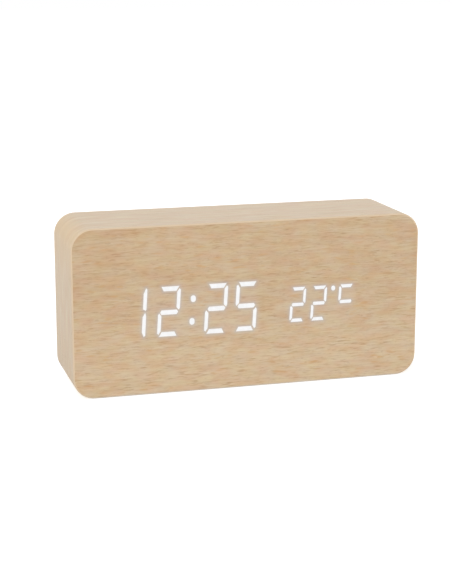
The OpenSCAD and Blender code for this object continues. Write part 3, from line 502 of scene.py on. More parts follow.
def spilled_light(tree, place):
    """How much light the wood holds, from the distance to the nearer group of digits."""
    shares = []
    for lenses in DIGITS.values():
        low, high = [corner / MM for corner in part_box(lenses[0] + "_lens")]
        high.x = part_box(lenses[-1] + "_lens")[1].x / MM
        middle = (low + high) / 2
        half = (high - low) / 2
        aside = calc(tree, "ABSOLUTE", calc(tree, "SUBTRACT", place.outputs[0], middle.x))
        above = calc(tree, "ABSOLUTE", calc(tree, "SUBTRACT", place.outputs[2], middle.z))
        aside = calc(tree, "SUBTRACT", aside, half.x)
        above = calc(tree, "SUBTRACT", above, half.z)
        out = calc(tree, "MAXIMUM", aside, above)
        shares.append(between(tree, out, SPILL_OUTSIDE, SPILL_INSIDE, 0.0, SPILL))
    return calc(tree, "MAXIMUM", *shares)


print("groups of digits:", ", ".join(DIGITS))

# %% Front and back veneer
GRAIN_DEPTH = 0.05 * MM
# Painted light: both sheets are paler toward the base.
PAINTED_LIGHT_DOWN = (48.0, 8.0)
PALE_TOP = tone(213, 187, 152)
PALE_FOOT = tone(222, 198, 165)
BODY_TOP = tone(204, 174, 139)
BODY_FOOT = tone(213, 186, 152)
DEEPER_LEFT = (-32.0, -66.0)
DEEP_END = (0.972, 0.955, 0.94, 1)
FRONT_CUT = (0.0, 0.0, 0.0)
BACK_CUT = (310.0, 140.0, 0.0)
GLOW_SHARE = 0.62


def sheet_veneer(name, cut, lit=False, glow=None):
    """Veneer on a level sheet, its grain along X; cut is its place in the log, glow a lit colour."""
    material, tree, shader = new_material(name)
    place = put(tree, "ShaderNodeSeparateXYZ", {0: millimetres(tree)})
    x, y, z = place.outputs
    along = put(tree, "ShaderNodeCombineXYZ", {0: x, 1: z, 2: y}).outputs[0]
    # Painted light: paler toward the base.
    low_share = between(tree, z, *PAINTED_LIGHT_DOWN)
    figure = put(tree, "ShaderNodeGroup", {
        "Along grain": moved(tree, along, cut),
        "Pale": blend_colours(tree, low_share, PALE_TOP, PALE_FOOT),
        "Body": blend_colours(tree, low_share, BODY_TOP, BODY_FOOT)}, node_tree=veneer)
    drift = blend_colours(tree, between(tree, x, *DEEPER_LEFT), WHITE, DEEP_END)
    tint = scaled(tree, figure.outputs["Color"], drift)
    if lit:
        tint = blend_colours(tree, spilled_light(tree, place), tint, SPILL_TONE)
    if glow:
        lit_share = put(tree, "ShaderNodeAttribute", attribute_name="glow").outputs["Fac"]
        tint = blend_colours(tree, times(tree, lit_share, GLOW_SHARE), tint, glow)
    connect(tree, shader, {"Base Color": tint, "Roughness": figure.outputs["Roughness"]})
    raised(tree, shader, figure.outputs["Height"], GRAIN_DEPTH)
    return material


front_veneer = sheet_veneer("front_veneer", FRONT_CUT, lit=True)
back_veneer = sheet_veneer("back_veneer", BACK_CUT)
dress(["front_veneer"], front_veneer)
dress(["back_veneer"], back_veneer)

# %% [markdown]
# ## Edge band
# One strip of veneer runs round all four sides, so its grain follows the outline: upright on the
# sides, level on the top, and bending round the corners. Object coordinates can't follow a corner,
# so the band is modelled again with its own map, laid out along the strip. The shape is one rounded
# face, extruded from the front to the back, with both rims rounded, and opened in the middle. Over
# the upper corners the strip is painted a little warmer, a painted light for the weaker sheen there.
# Its eased rims are painted paler, a painted highlight, which turns greyer toward the back; along
# the foot the rim is painted greyer still, a painted shade on the edge that faces down.

# %% Edge band shape
BAND_CORNER = 9 * MM
BAND_THICKNESS = 1.5 * MM
BAND_EASE = 0.8 * MM
CORNER_STEPS = 16
EASE_STEPS = 6
FACING = 0.999

width, depth, height = cad_high - cad_low
band_bm = bmesh.new()
front_grid(band_bm, (0, cad_low.y, height / 2), width, height)
bmesh.ops.bevel(
    band_bm, geom=band_bm.verts[:], offset=BAND_CORNER, offset_type="OFFSET", segments=CORNER_STEPS,
    profile=0.5, affect="VERTICES", material=-1)
drawn = bmesh.ops.extrude_face_region(band_bm, geom=band_bm.faces[:])
move_new(band_bm, drawn["geom"], (0, depth, 0))
bmesh.ops.recalc_face_normals(band_bm, faces=band_bm.faces)
for plane in (cad_low.y, cad_high.y):
    ease(band_bm, rims(band_bm, plane), BAND_EASE, EASE_STEPS)
ends = [f for f in band_bm.faces if abs(f.normal.y) > FACING and len(f.verts) > 4]
bmesh.ops.inset_region(
    band_bm, faces=ends, thickness=BAND_THICKNESS - BAND_EASE, use_even_offset=True)
bmesh.ops.delete(band_bm, geom=ends, context="FACES")
bmesh.ops.bridge_loops(band_bm, edges=open_edges(band_bm))
bmesh.ops.recalc_face_normals(band_bm, faces=band_bm.faces)
print("band faces:", len(band_bm.faces), "open edges:", len(open_edges(band_bm)))

# %% Edge band map
HAIR = 1e-4

core_x = width / 2 - BAND_CORNER
core_z = height / 2 - BAND_CORNER
strip_length = 4 * (core_x + core_z) + 2 * math.pi * BAND_CORNER


def along_strip(co):
    """How far round the strip a point lies, from the middle of the base, going to the right."""
    z = co.z - height / 2
    near = Vector((max(-core_x, min(core_x, co.x)), max(-core_z, min(core_z, z))))
    out = Vector((co.x, z)) - near
    turn = (math.atan2(out.y, out.x) + math.pi / 2) % (2 * math.pi)
    if turn < HAIR or turn > 2 * math.pi - HAIR:
        return near.x % strip_length
    if turn < math.pi / 2 + HAIR:
        core = core_x + near.y + core_z
    elif turn < math.pi + HAIR:
        core = core_x + 2 * core_z + core_x - near.x
    else:
        core = 3 * core_x + 2 * core_z + core_z - near.y
    return core + BAND_CORNER * turn


strip = band_bm.loops.layers.uv.new("strip")
for face in band_bm.faces:
    places = [along_strip(loop.vert.co) for loop in face.loops]
    wraps = max(places) - min(places) > strip_length / 2
    for loop, at in zip(face.loops, places):
        if wraps and at < strip_length / 2:
            at += strip_length
        loop[strip].uv = (at / MM, loop.vert.co.y / MM)
print("strip length in mm:", round(strip_length / MM, 1))

# %% Edge band figure
BAND_STRETCH = (0.6, 1.4, 1.0)
BAND_CUT = (40.0, 400.0, 0.0)
BAND_GLOSS = (0.27, 0.36)
BAND_DEPTH = 0.4 * GRAIN_DEPTH

edge_veneer, tree, shader = new_material("edge_veneer")
flat_map = put(tree, "ShaderNodeUVMap", uv_map="strip").outputs[0]
figure = put(tree, "ShaderNodeGroup", {
    "Along grain": moved(tree, scaled(tree, flat_map, BAND_STRETCH), BAND_CUT), "Wander": 0.8,
    "Pale": tone(217, 192, 157), "Body": tone(200, 172, 135), "Warm": tone(196, 160, 118),
    "Dash strength": 0.3, "Pore strength": 0.15}, node_tree=veneer)
satin = between(tree, figure.outputs["Roughness"], *VENEER_GLOSS, *BAND_GLOSS)
connect(tree, shader, {"Roughness": satin})
raised(tree, shader, figure.outputs["Height"], BAND_DEPTH)
print("band nodes:", len(tree.nodes))

# %% Edge band tints
# Painted light: the strip is warmer over the upper corners, where less sheen shows.
LESS_SHEEN_ASIDE = (67.0, 73.5)
LESS_SHEEN_UP = (44.0, 60.0)
LESS_SHEEN_SHARE = 0.45
LESS_SHEEN_TONE = tone(213, 178, 124)
# Painted highlight: the eased rims are paler, and greyer toward the back.
RIM_HIGHLIGHT_OUT = (19.4, 20.0)
RIM_HIGHLIGHT_SHARE = 0.85
RIM_FRONT_TO_BACK = (-5.0, 5.0)
RIM_FRONT_TONE = tone(228, 205, 175)
RIM_BACK_TONE = tone(224, 207, 187)
# Painted shade: the rim along the foot, which faces down, is greyer.
FOOT_SHADE_DOWN = (1.2, 0.4)
FOOT_SHADE_TONE = tone(212, 202, 188)
FLAT_LAND = 0.97

x, y, z = put(tree, "ShaderNodeSeparateXYZ", {0: millimetres(tree)}).outputs
aside = between(tree, calc(tree, "ABSOLUTE", x), *LESS_SHEEN_ASIDE)
# Painted light: warmer over the upper corners.
less_sheen = times(tree, aside, between(tree, z, *LESS_SHEEN_UP, 0.0, LESS_SHEEN_SHARE))
tint = blend_colours(tree, less_sheen, figure.outputs["Color"], LESS_SHEEN_TONE)
from_middle = calc(tree, "ABSOLUTE", put(tree, "ShaderNodeSeparateXYZ", {0: flat_map}).outputs[1])
# Painted highlight on the rims, greyer at the back, with painted shade at the foot.
rim_highlight = between(tree, from_middle, *RIM_HIGHLIGHT_OUT, 0.0, RIM_HIGHLIGHT_SHARE)
rim_tint = blend_colours(tree, between(tree, y, *RIM_FRONT_TO_BACK), RIM_FRONT_TONE, RIM_BACK_TONE)
rim_tint = blend_colours(tree, between(tree, z, *FOOT_SHADE_DOWN), rim_tint, FOOT_SHADE_TONE)
connect(tree, shader, {"Base Color": blend_colours(tree, rim_highlight, tint, rim_tint)})
band_finishes = [edge_veneer, front_veneer, back_veneer]
for face in band_bm.faces:
    if face.normal.y < -FLAT_LAND:
        face.material_index = band_finishes.index(front_veneer)
    elif face.normal.y > FLAT_LAND:
        face.material_index = band_finishes.index(back_veneer)
make_piece(
    "edge_band_wrapped", band_bm, band_finishes, stands_for=["edge_band"])

# %% [markdown]
# ## Lit segments
# Behind each segment a chip lights a small well, and the light comes out as a clean white bar with a
# duller rim. A plain glowing block would stop dead at the wood. Each segment is therefore a copy of
# its solid with its front face inset, so that the inside glows and the border is an unlit rim. The
# white of the light and the dull tone of the rim drift a little from place to place.

# %% Lens finishes
def clouded(tree, size, first, second):
    """Two tones that drift into each other; a larger size makes smaller clouds."""
    cloud = noise(tree, scaled(tree, millimetres(tree), (size, size, size)))
    return blend_colours(tree, between(tree, cloud, 0.3, 0.7), first, second)


lit_segment, tree, shader = new_material("lit_segment")
connect(tree, shader, {
    "Base Color": tone(40, 40, 42), "Roughness": 0.6, "Specular IOR Level": 0.0,
    "Emission Color": clouded(tree, 0.5, tone(243, 243, 243), tone(249, 249, 249)),
    "Emission Strength": 1.0})
lens_rim, tree, shader = new_material("lens_rim")
connect(tree, shader, {
    "Base Color": clouded(tree, 1.0, tone(216, 200, 180), tone(224, 208, 190)), "Roughness": 0.6})
print("lens finishes:", lit_segment.name, lens_rim.name)

# %% [markdown]
# ## Corners of the segments
# Light doesn't fill a segment to its drawn corners. It fades in thin free tips, runs on past the ends
# of a one, and is rounded at every corner, and a few segments sit slightly off their places. The
# corners of the copies are moved for that and then bevelled. The bevel is set edge by edge, so that
# blunt and sharp corners get the same radius.

# %% Segment ends
ONE_END = 1.0 * MM
ONE_GAP = 1.2 * MM
# The moves of a one's tips in mm: at its top, at its foot, below its gap and above its gap
ONE_RISES = (0.8, -0.5, 0.35, 0.5)
ONE_SLANT = 0.06
TIP_FADE = 0.08 * MM
TIP_BELOW = math.radians(75)
TIP_APART = 1.5 * MM
MARK_ROUND = 10 * MM

front_face_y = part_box("front_veneer")[0].y


def lens_fronts(bm):
    return [f for f in bm.faces if abs(f.calc_center_median().y - front_face_y) < NEARLY]


def lengthen_one(bm):
    """Light runs on past the free ends of a one, where no level segment stops it."""
    low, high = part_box("hour_tens_lens")
    middle = (low.z + high.z) / 2
    stretches = (
        (high.z - ONE_END, high.z), (low.z, low.z + ONE_END),
        (middle - ONE_GAP, middle), (middle, middle + ONE_GAP))
    for (bottom, top), rise in zip(stretches, ONE_RISES):
        verts = [v for f in lens_fronts(bm) for v in f.verts]
        tips = [v for v in verts if bottom - WELD <= v.co.z <= top + WELD]
        bmesh.ops.translate(bm, verts=tips, vec=(ONE_SLANT * rise * MM, 0, rise * MM))


def blunt_ends(bm):
    """Light fades in the thin tip of a level segment, where no other segment stands next to it."""
    fronts = lens_fronts(bm)
    for face in fronts:
        middle = face.calc_center_median()
        others = [v.co for f in fronts if f is not face for v in f.verts]
        if not others or face.calc_perimeter() < MARK_ROUND:
            continue
        for loop in face.loops:
            apart = min((loop.vert.co - co).length for co in others)
            if loop.calc_angle() < TIP_BELOW and apart > TIP_APART:
                way = math.copysign(TIP_FADE, middle.x - loop.vert.co.x)
                bmesh.ops.translate(bm, verts=[loop.vert], vec=(way, 0, 0))


print("front face at mm:", round(front_face_y / MM, 2))

# %% Segment places and corners
# Where a segment lies, in shares of its digit's width and height, and its move in mm
NUDGES = {
    "hour_ones": [((0.5, 0.5), (0, -0.28)), ((1, 0.75), (-0.1, 0)), ((0.5, 0), (0, 0.12))],
    "minute_tens": [((0, 0.25), (-0.22, 0)), ((1, 0.75), (-0.12, 0))],
    "minute_ones": [((0.5, 0.5), (0, 0.35)), ((0, 0.75), (-0.12, 0)), ((0.5, 0), (-0.2, 0.15))]}
CORNER_RADIUS = 0.2 * MM
CORNER_ABOVE = math.radians(25)
CORNER_FACETS = 3


def nudge(bm, lens):
    """Moves the segments of a digit that sit off their places."""
    low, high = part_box(lens + "_lens")
    for (across, up), (aside, rise) in NUDGES.get(lens, []):
        spot = Vector((
            low.x + across * (high.x - low.x), front_face_y, low.z + up * (high.z - low.z)))
        face = min(lens_fronts(bm), key=lambda f: (f.calc_center_median() - spot).length)
        bmesh.ops.translate(bm, verts=face.verts, vec=(aside * MM, 0, rise * MM))


def round_corners(bm):
    """Gives the corners of every segment one radius, along its depth."""
    corners = []
    for edge in bm.edges:
        run = edge.verts[1].co - edge.verts[0].co
        turn = edge.calc_face_angle(0)
        if abs(run.y) > run.length / 2 and turn > CORNER_ABOVE:
            corners.append((edge, CORNER_RADIUS * math.tan(turn / 2)))
    for edge, width in corners:
        ease(bm, [edge], width, CORNER_FACETS)


print("digits with moved segments:", ", ".join(NUDGES))

# %% [markdown]
# ## Glow round the segments
# A little light spreads in the wood beside each segment and looks like a soft grey edge. A ring round
# every segment would overlap its neighbours. So a thin skin of the same veneer lies over the wood, a
# fine grid in which every point holds how near the closest segment is, and the glow fades evenly
# round a whole digit. Its border dips to the wood, so no edge of it shows.

# %% Glowing skin
GLOW_TONE = tone(194, 194, 200)
GLOW_LIFT = 0.02 * MM
GLOW_STEP = 0.3 * MM
GLOW_REACH = 0.5 * MM
GLOW_MARGIN = 3 * MM
GLOW_RAMP = 2 * MM
GLOW_FOOT = 0.05

glowing_veneer = sheet_veneer("glowing_veneer", FRONT_CUT, lit=True, glow=GLOW_TONE)


def glow_skin(points, faces):
    """A thin skin round some lit faces; its glow runs from 1 at them to 0 at its border."""
    nearest = BVHTree.FromPolygons(points, faces)
    margin = Vector((GLOW_MARGIN, 0, GLOW_MARGIN))
    low = Vector([min(p[axis] for p in points) for axis in range(3)]) - margin
    high = Vector([max(p[axis] for p in points) for axis in range(3)]) + margin
    middle = (low + high) / 2
    size = high - low
    skin = bmesh.new()
    front_grid(
        skin, (middle.x, front_face_y, middle.z), size.x, size.z,
        round(size.x / GLOW_STEP), round(size.z / GLOW_STEP))
    glow = skin.verts.layers.float.new("glow")
    faintest = math.exp(-GLOW_MARGIN / GLOW_REACH)
    for vert in skin.verts:
        x, y, z = vert.co
        away = nearest.find_nearest(vert.co)[3]
        vert[glow] = max(0, math.exp(-away / GLOW_REACH) - faintest)
        inside = min(x - low.x, high.x - x, z - low.z, high.z - z)
        vert.co.y = y - GLOW_LIFT * min(1, GLOW_FOOT + inside / GLOW_RAMP)
    sides = bmesh.ops.extrude_edge_only(skin, edges=open_edges(skin))
    move_new(skin, sides["geom"], (0, GLOW_LIFT, 0))
    bmesh.ops.edgeloop_fill(skin, edges=open_edges(skin))
    bmesh.ops.recalc_face_normals(skin, faces=skin.faces)
    print("glowing skin, open edges:", len(open_edges(skin)))
    return skin


print("glow fades out within mm:", round(GLOW_MARGIN / MM, 1))

# %% Segments and glow
LENS_LIFT = 0.06 * MM
RIM_WIDTH = {"time": 0.15 * MM, "degree": 0.05 * MM}
CORNER_MERGE = 0.05 * MM

lens_finishes = [lit_segment, lens_rim]
for group, lenses in DIGITS.items():
    lit_points = []
    lit_faces = []
    for lens in lenses:
        lens_bm = copy_of(lens + "_lens")
        if lens == "hour_tens":
            lengthen_one(lens_bm)
        else:
            blunt_ends(lens_bm)
        nudge(lens_bm, lens)
        round_corners(lens_bm)
        fronts = lens_fronts(lens_bm)
        for face in fronts:
            lit_faces.append(list(range(len(lit_points), len(lit_points) + len(face.verts))))
            lit_points += [v.co.copy() for v in face.verts]
        for face in lens_bm.faces:
            face.material_index = lens_finishes.index(lens_rim)
        front_verts = [v for f in fronts for v in f.verts]
        bmesh.ops.translate(lens_bm, vec=(0, -LENS_LIFT, 0), verts=front_verts)
        bmesh.ops.inset_individual(
            lens_bm, faces=fronts, thickness=RIM_WIDTH[group], use_even_offset=True)
        for face in fronts:
            face.material_index = lens_finishes.index(lit_segment)
        inner_verts = [v for f in fronts for v in f.verts]
        bmesh.ops.remove_doubles(lens_bm, verts=inner_verts, dist=CORNER_MERGE)
        make_piece(
            lens + "_segments", lens_bm, lens_finishes,
            stands_for=[lens + "_lens"])
    skin_bm = glow_skin(lit_points, lit_faces)
    make_piece(group + "_glow", skin_bm, [glowing_veneer])

# %% [markdown]
# ## Moulded plastic
# The cover, the door, the buttons and most of the small parts inside are moulded. A spark-eroded
# mould leaves the cover with a fine, even roughness, while the buttons come out of a smoother one.
# The texture is a relief of fine noise, with the gloss and the grey changing a little from place to
# place as the melt flowed. It is a node group, because every moulded part uses it with its own
# colours and gloss.

# %% Moulded texture
SPARK_FACTORS = (3.2, 3.2, 3.2)
FLOW_FACTORS = (0.06, 0.06, 0.06)

moulded, start, end = new_group(
    "moulded_texture",
    [("Place", VECTOR, None), ("Dark", COLOUR, None), ("Light", COLOUR, None),
     ("Shiny", VALUE, None), ("Dull", VALUE, None)],
    [("Color", COLOUR), ("Roughness", VALUE), ("Height", VALUE)])
given = start.outputs
spark = noise(moulded, scaled(moulded, given["Place"], SPARK_FACTORS), detail=2.0, roughness=0.6)
flow = noise(moulded, scaled(moulded, given["Place"], FLOW_FACTORS), detail=3.0)
both = calc(moulded, "ADD", times(moulded, spark, 0.6), times(moulded, flow, 0.4))
shade = between(moulded, both, 0.35, 0.65)
connect(moulded, end, {
    "Color": blend_colours(moulded, shade, given["Dark"], given["Light"]),
    "Roughness": between(moulded, flow, 0.3, 0.7, given["Shiny"], given["Dull"]),
    "Height": spark})


def plastic(name, dark, light, shiny, dull, depth):
    """A moulded plastic between two shades and two glosses, with a texture of that depth."""
    material, tree, shader = new_material(name)
    look = put(tree, "ShaderNodeGroup", {
        "Place": millimetres(tree), "Dark": dark, "Light": light, "Shiny": shiny, "Dull": dull},
        node_tree=moulded)
    connect(tree, shader, {
        "Base Color": look.outputs["Color"], "Roughness": look.outputs["Roughness"]})
    raised(tree, shader, look.outputs["Height"], depth)
    return material


print("moulded nodes:", len(moulded.nodes))

# %% [markdown]
# ## Rear cover and battery door
# The edges of a moulding are never knife sharp, and the thin bright line along an eased edge is what
# makes black plastic readable. Both pieces are copies of their solids in which every outward edge of
# the outer face, round the outline, the holes, the slots and the grips, gets a small rounding.

# %% Rear cover and battery door
MOULD_EASE = 0.2 * MM

cover_plastic = plastic("cover_plastic", tone(20, 20, 22), tone(40, 40, 42), 0.44, 0.6, 0.07 * MM)
cover_face_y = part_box("rear_cover")[1].y
for node, body in (("rear_cover", "case"), ("battery_door", "door")):
    shell_bm = copy_of(node)
    edges = rims(shell_bm, cover_face_y)
    ease(shell_bm, edges, MOULD_EASE)
    make_piece(
        node + "_moulded", shell_bm, [cover_plastic], body=body,
        stands_for=[node])
    print("eased edges:", len(edges))

# %% [markdown]
# ## Buttons
# Each button is a smooth round cap with a sunk sign: a ring to set the clock, and arrows to step up
# and down. The sunk sign is filled with white paint, as on most clocks, so it can be read on black.
# The paint is taken from the floor of the sign itself, drawn out a little, so that it always fits.

# %% Sign paint
PAINT_THICKNESS = 0.14 * MM
PAINT_MARGIN = 0.03 * MM
SIGN_LEAST = 0.1 * MM
SIGN_MOST = 0.5 * MM
SIGN_REACH = 0.7
FACING_OUT = 0.9

sign_paint = plastic("sign_paint", tone(214, 214, 210), tone(228, 228, 225), 0.45, 0.6, 0.01 * MM)


def off_axis(co, axis):
    return math.hypot(co.x - axis.x, co.z - axis.z)


def keep_sign(bm, axis, top, reach):
    """Leaves only the paint of the sunk sign: its floor, clear of the walls, with a thickness."""
    others = []
    for face in bm.faces:
        middle = face.calc_center_median()
        sunk = face.normal.y > FACING_OUT and top - SIGN_MOST < middle.y < top - SIGN_LEAST
        if not sunk or off_axis(middle, axis) > SIGN_REACH * reach:
            others.append(face)
    bmesh.ops.delete(bm, geom=others, context="FACES")
    bmesh.ops.inset_region(
        bm, faces=bm.faces[:], thickness=PAINT_MARGIN, use_even_offset=True, use_boundary=True)
    rim_faces = [f for f in bm.faces if any(e.is_boundary for e in f.edges)]
    bmesh.ops.delete(bm, geom=rim_faces, context="FACES")
    drawn = bmesh.ops.extrude_face_region(bm, geom=bm.faces[:], use_keep_orig=True)
    move_new(bm, drawn["geom"], (0, PAINT_THICKNESS, 0))
    bmesh.ops.recalc_face_normals(bm, faces=bm.faces)


print("paint in mm:", round(PAINT_THICKNESS / MM, 2))

# %% Buttons
CAP_EASE = 0.3 * MM
CAP_FACETS = 3

button_plastic = plastic(
    "button_plastic", tone(42, 42, 44), tone(52, 52, 54), 0.34, 0.44, 0.008 * MM)
for key in ("set", "up", "down"):
    node = key + "_button"
    low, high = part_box(node)
    axis = (low + high) / 2
    cap_bm = copy_of(node)
    paint_bm = cap_bm.copy()
    top_rims = rims(cap_bm, high.y)
    reach = max(off_axis(v.co, axis) for e in top_rims for v in e.verts)
    outer = [e for e in top_rims if all(off_axis(v.co, axis) > reach - NEARLY for v in e.verts)]
    ease(cap_bm, outer, CAP_EASE, CAP_FACETS)
    make_piece(
        node + "_cap", cap_bm, [button_plastic], body=key + "_key",
        stands_for=[node])
    keep_sign(paint_bm, axis, high.y, reach)
    make_piece(key + "_sign", paint_bm, [sign_paint], body=key + "_key")

# %% [markdown]
# ## Metal
# Screws, socket shell, contacts and springs are plated steel. Plating is bright but never perfect:
# a fine haze from drawing or rolling changes the gloss along one direction. The noise is stretched
# for that, and it drives both the roughness and a slight change of tone.

# %% Plated steel
def plated(name, bright, dull, stretch, shiny=0.24, hazy=0.42):
    """A plated metal between two tones and two glosses."""
    material, tree, shader = new_material(name)
    haze = noise(tree, scaled(tree, millimetres(tree), stretch), detail=3.0, roughness=0.6)
    tint = blend_colours(tree, between(tree, haze, 0.3, 0.7), bright, dull)
    rough = between(tree, haze, 0.25, 0.75, shiny, hazy)
    connect(tree, shader, {"Base Color": tint, "Roughness": rough, "Metallic": 1.0})
    return material


steel = plated("steel", tone(196, 196, 194), tone(176, 176, 173), (4.0, 0.6, 0.6))
dress(["usb_socket", "contact_plates", "microphone", "timing_crystal", "clock_chip_legs", "coin_cell",
       "display_screws", "board_screws"], steel)

# %% [markdown]
# ## Socket contacts
# The power socket carries two rows of gilt contacts on its tongue: short strips with rounded ends, let
# halfway into the plastic. They could be stripes in the tongue's finish, but strips that stand proud
# catch the light along their edges. Each is a small block whose upright edges are rounded.

# %% Socket contacts
CONTACT_PITCH = 0.5 * MM
CONTACT_SIZE = Vector((0.26, 2.6, 0.03)) * MM
CONTACT_SETBACK = 0.4 * MM
CONTACT_ROUND = 0.1 * MM
CONTACTS = 12
TONGUE_THICKNESS = 0.7 * MM

gold = plated("gold", tone(226, 190, 110), tone(206, 168, 92), (2.0, 2.0, 2.0), 0.2, 0.32)
tongue_low, tongue_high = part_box("usb_tongue")
tongue_middle = (tongue_low + tongue_high) / 2
contact_bm = bmesh.new()
for side in (-1, 1):
    for count in range(CONTACTS):
        place = Vector((
            tongue_middle.x + (count - (CONTACTS - 1) / 2) * CONTACT_PITCH,
            tongue_high.y - CONTACT_SETBACK - CONTACT_SIZE.y / 2,
            tongue_middle.z + side * TONGUE_THICKNESS / 2))
        bmesh.ops.create_cube(
            contact_bm, size=1,
            matrix=Matrix.Translation(place) @ Matrix.Diagonal((*CONTACT_SIZE, 1)))
upright = [
    e for e in contact_bm.edges
    if abs((e.verts[0].co - e.verts[1].co).z) > CONTACT_SIZE.z / 2]
ease(contact_bm, upright, CONTACT_ROUND)
make_piece("socket_contacts", contact_bm, [gold])

# %% [markdown]
# ## Cover screws
# Four screws hold the cover. Their heads are turned, so that the rims are slightly rounded and shine,
# which a sharp solid can't do. A copy of their solid with those rims eased is enough, in a darker
# steel whose haze has no direction.

# %% Cover screws
SCREW_EASE = 0.08 * MM

screw_steel = plated(
    "screw_steel", tone(158, 157, 154), tone(138, 137, 134), (9.0, 9.0, 9.0), 0.26, 0.38)
screw_bm = copy_of("cover_screws")
ease(screw_bm, rims(screw_bm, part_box("cover_screws")[1].y), SCREW_EASE)
make_piece(
    "cover_screws_turned", screw_bm, [screw_steel], stands_for=["cover_screws"])

# %% [markdown]
# ## Contact springs
# Each cell presses on a cone-shaped spring of thin wire. A spring is one ring of vertices, the wire's
# section, carried round the axis: every step extrudes the ring, turns it a little, moves it along and
# draws it in. A spin could turn and move it, but not narrow the coil without thinning the wire.

# %% Places of the cells
CELL_LENGTH = 44.5 * MM

cell_low, cell_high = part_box("aaa_cells")
cell_axis_y = (cell_low.y + cell_high.y) / 2
cell_axis_z = (cell_low.z + cell_high.z) / 2
row_pitch = (cell_high.z - cell_low.z) / 2 - (cell_high.y - cell_low.y) / 2
points_right = (cell_high.x - CELL_LENGTH, 1)
points_left = (cell_low.x + CELL_LENGTH, -1)
flat_ends = {0: points_right, 1: points_left, -1: points_left}
print("pitch of the cells in mm:", round(row_pitch / MM, 2))

# %% Contact springs
WIRE_R = 0.3 * MM
WIRE_SIDES = 10
COIL_TURNS = 3
COIL_STEPS = 28
COIL_FOOT_R = 3.0 * MM
COIL_TIP_R = 2.2 * MM
COIL_CLEAR = 0.02 * MM


def add_spring(bm, plate_x, tip_x, axis_y, axis_z):
    """One coil from its plate to the flat end of its cell, round an axis along X."""
    way = 1 if tip_x > plate_x else -1
    length = abs(tip_x - plate_x) - 2 * (WIRE_R + COIL_CLEAR)
    steps = COIL_TURNS * COIL_STEPS
    turn = Matrix.Rotation(way * 2 * math.pi / COIL_STEPS, 3, "X")
    centre = Vector((0, axis_y, axis_z))
    first = Vector((plate_x + way * (WIRE_R + COIL_CLEAR), axis_y + COIL_FOOT_R, axis_z))
    ring = bmesh.ops.create_circle(
        bm, cap_ends=True, segments=WIRE_SIDES, radius=WIRE_R,
        matrix=Matrix.Translation(first))["verts"]
    edges = list(dict.fromkeys(e for v in ring for e in v.link_edges))
    for _ in range(steps):
        grown = bmesh.ops.extrude_edge_only(bm, edges=edges)["geom"]
        ring = [g for g in grown if isinstance(g, bmesh.types.BMVert)]
        edges = [g for g in grown if isinstance(g, bmesh.types.BMEdge)]
        bmesh.ops.rotate(bm, verts=ring, cent=centre, matrix=turn)
        middle = sum((v.co for v in ring), Vector()) / len(ring)
        inward = (centre - Vector((0, middle.y, middle.z))).normalized()
        inward *= (COIL_FOOT_R - COIL_TIP_R) / steps
        bmesh.ops.translate(bm, verts=ring, vec=inward + Vector((way * length / steps, 0, 0)))
    bmesh.ops.edgeloop_fill(bm, edges=edges)


spring_low, spring_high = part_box("battery_springs")
spring_bm = bmesh.new()
for row, (flat_x, way) in flat_ends.items():
    plate_x = spring_low.x if way > 0 else spring_high.x
    add_spring(spring_bm, plate_x, flat_x, cell_axis_y, cell_axis_z + row * row_pitch)
bmesh.ops.remove_doubles(spring_bm, verts=spring_bm.verts, dist=WELD)
bmesh.ops.recalc_face_normals(spring_bm, faces=spring_bm.faces)
make_piece("battery_springs_wound", spring_bm, [steel], stands_for=["battery_springs"])

# %% [markdown]
# ## Cells
# A cell is a steel can in a printed sleeve that is shrunk over both of its rims. The base shows as a
# plain disc inside the sleeve, and the button stands out at the other end. All of that is one turned
# outline, so a single spin makes it, and the faces are then sorted into steel, sleeve and band by
# where they lie along the cell. The cells are plain, with only a pale band at the button's end.

# %% Cells
CELL_STEPS = 40
CELL_OUTLINE = [
    (0.06, 0.0), (0.06, 4.0), (0.16, 4.3), (0.0, 4.6), (0.2, 5.05), (0.6, 5.25),
    (21.0, 5.25), (36.0, 5.25), (42.9, 5.25), (43.35, 5.05), (43.55, 4.6), (43.35, 4.25),
    (43.45, 3.2), (43.6, 2.4), (43.6, 2.0), (44.2, 1.9), (44.45, 1.7), (44.5, 1.4), (44.5, 0.0)]

cells_bm = bmesh.new()
for row, (flat_x, way) in flat_ends.items():
    axis = Vector((0, cell_axis_y, cell_axis_z + row * row_pitch))
    points = []
    for along, out in CELL_OUTLINE:
        points.append(cells_bm.verts.new(axis + Vector((flat_x + way * along * MM, out * MM, 0))))
    outline = [cells_bm.edges.new(pair) for pair in zip(points, points[1:])]
    bmesh.ops.spin(
        cells_bm, geom=points + outline, cent=axis, axis=(1, 0, 0), angle=2 * math.pi,
        steps=CELL_STEPS, use_merge=True)
bmesh.ops.remove_doubles(cells_bm, verts=cells_bm.verts, dist=WELD)
bmesh.ops.recalc_face_normals(cells_bm, faces=cells_bm.faces)
print("cells:", len(flat_ends), "open edges:", len(open_edges(cells_bm)))

# %% Sleeves
SLEEVE_OUTSIDE = 4.28 * MM
BAND_FROM = 36 * MM

cell_sleeve = plastic("cell_sleeve", tone(44, 82, 132), tone(54, 96, 148), 0.24, 0.34, 0.003 * MM)
cell_band = plastic("cell_band", tone(196, 200, 204), tone(210, 213, 216), 0.24, 0.34, 0.003 * MM)
cell_finishes = [steel, cell_sleeve, cell_band]
for face in cells_bm.faces:
    middle = face.calc_center_median()
    row = round((middle.z - cell_axis_z) / row_pitch)
    flat_x, way = flat_ends[row]
    out = math.hypot(middle.y - cell_axis_y, middle.z - cell_axis_z - row * row_pitch)
    if out > SLEEVE_OUTSIDE:
        finish = cell_band if (middle.x - flat_x) * way > BAND_FROM else cell_sleeve
        face.material_index = cell_finishes.index(finish)
make_piece(
    "aaa_cells_sleeved", cells_bm, cell_finishes, stands_for=["aaa_cells"])

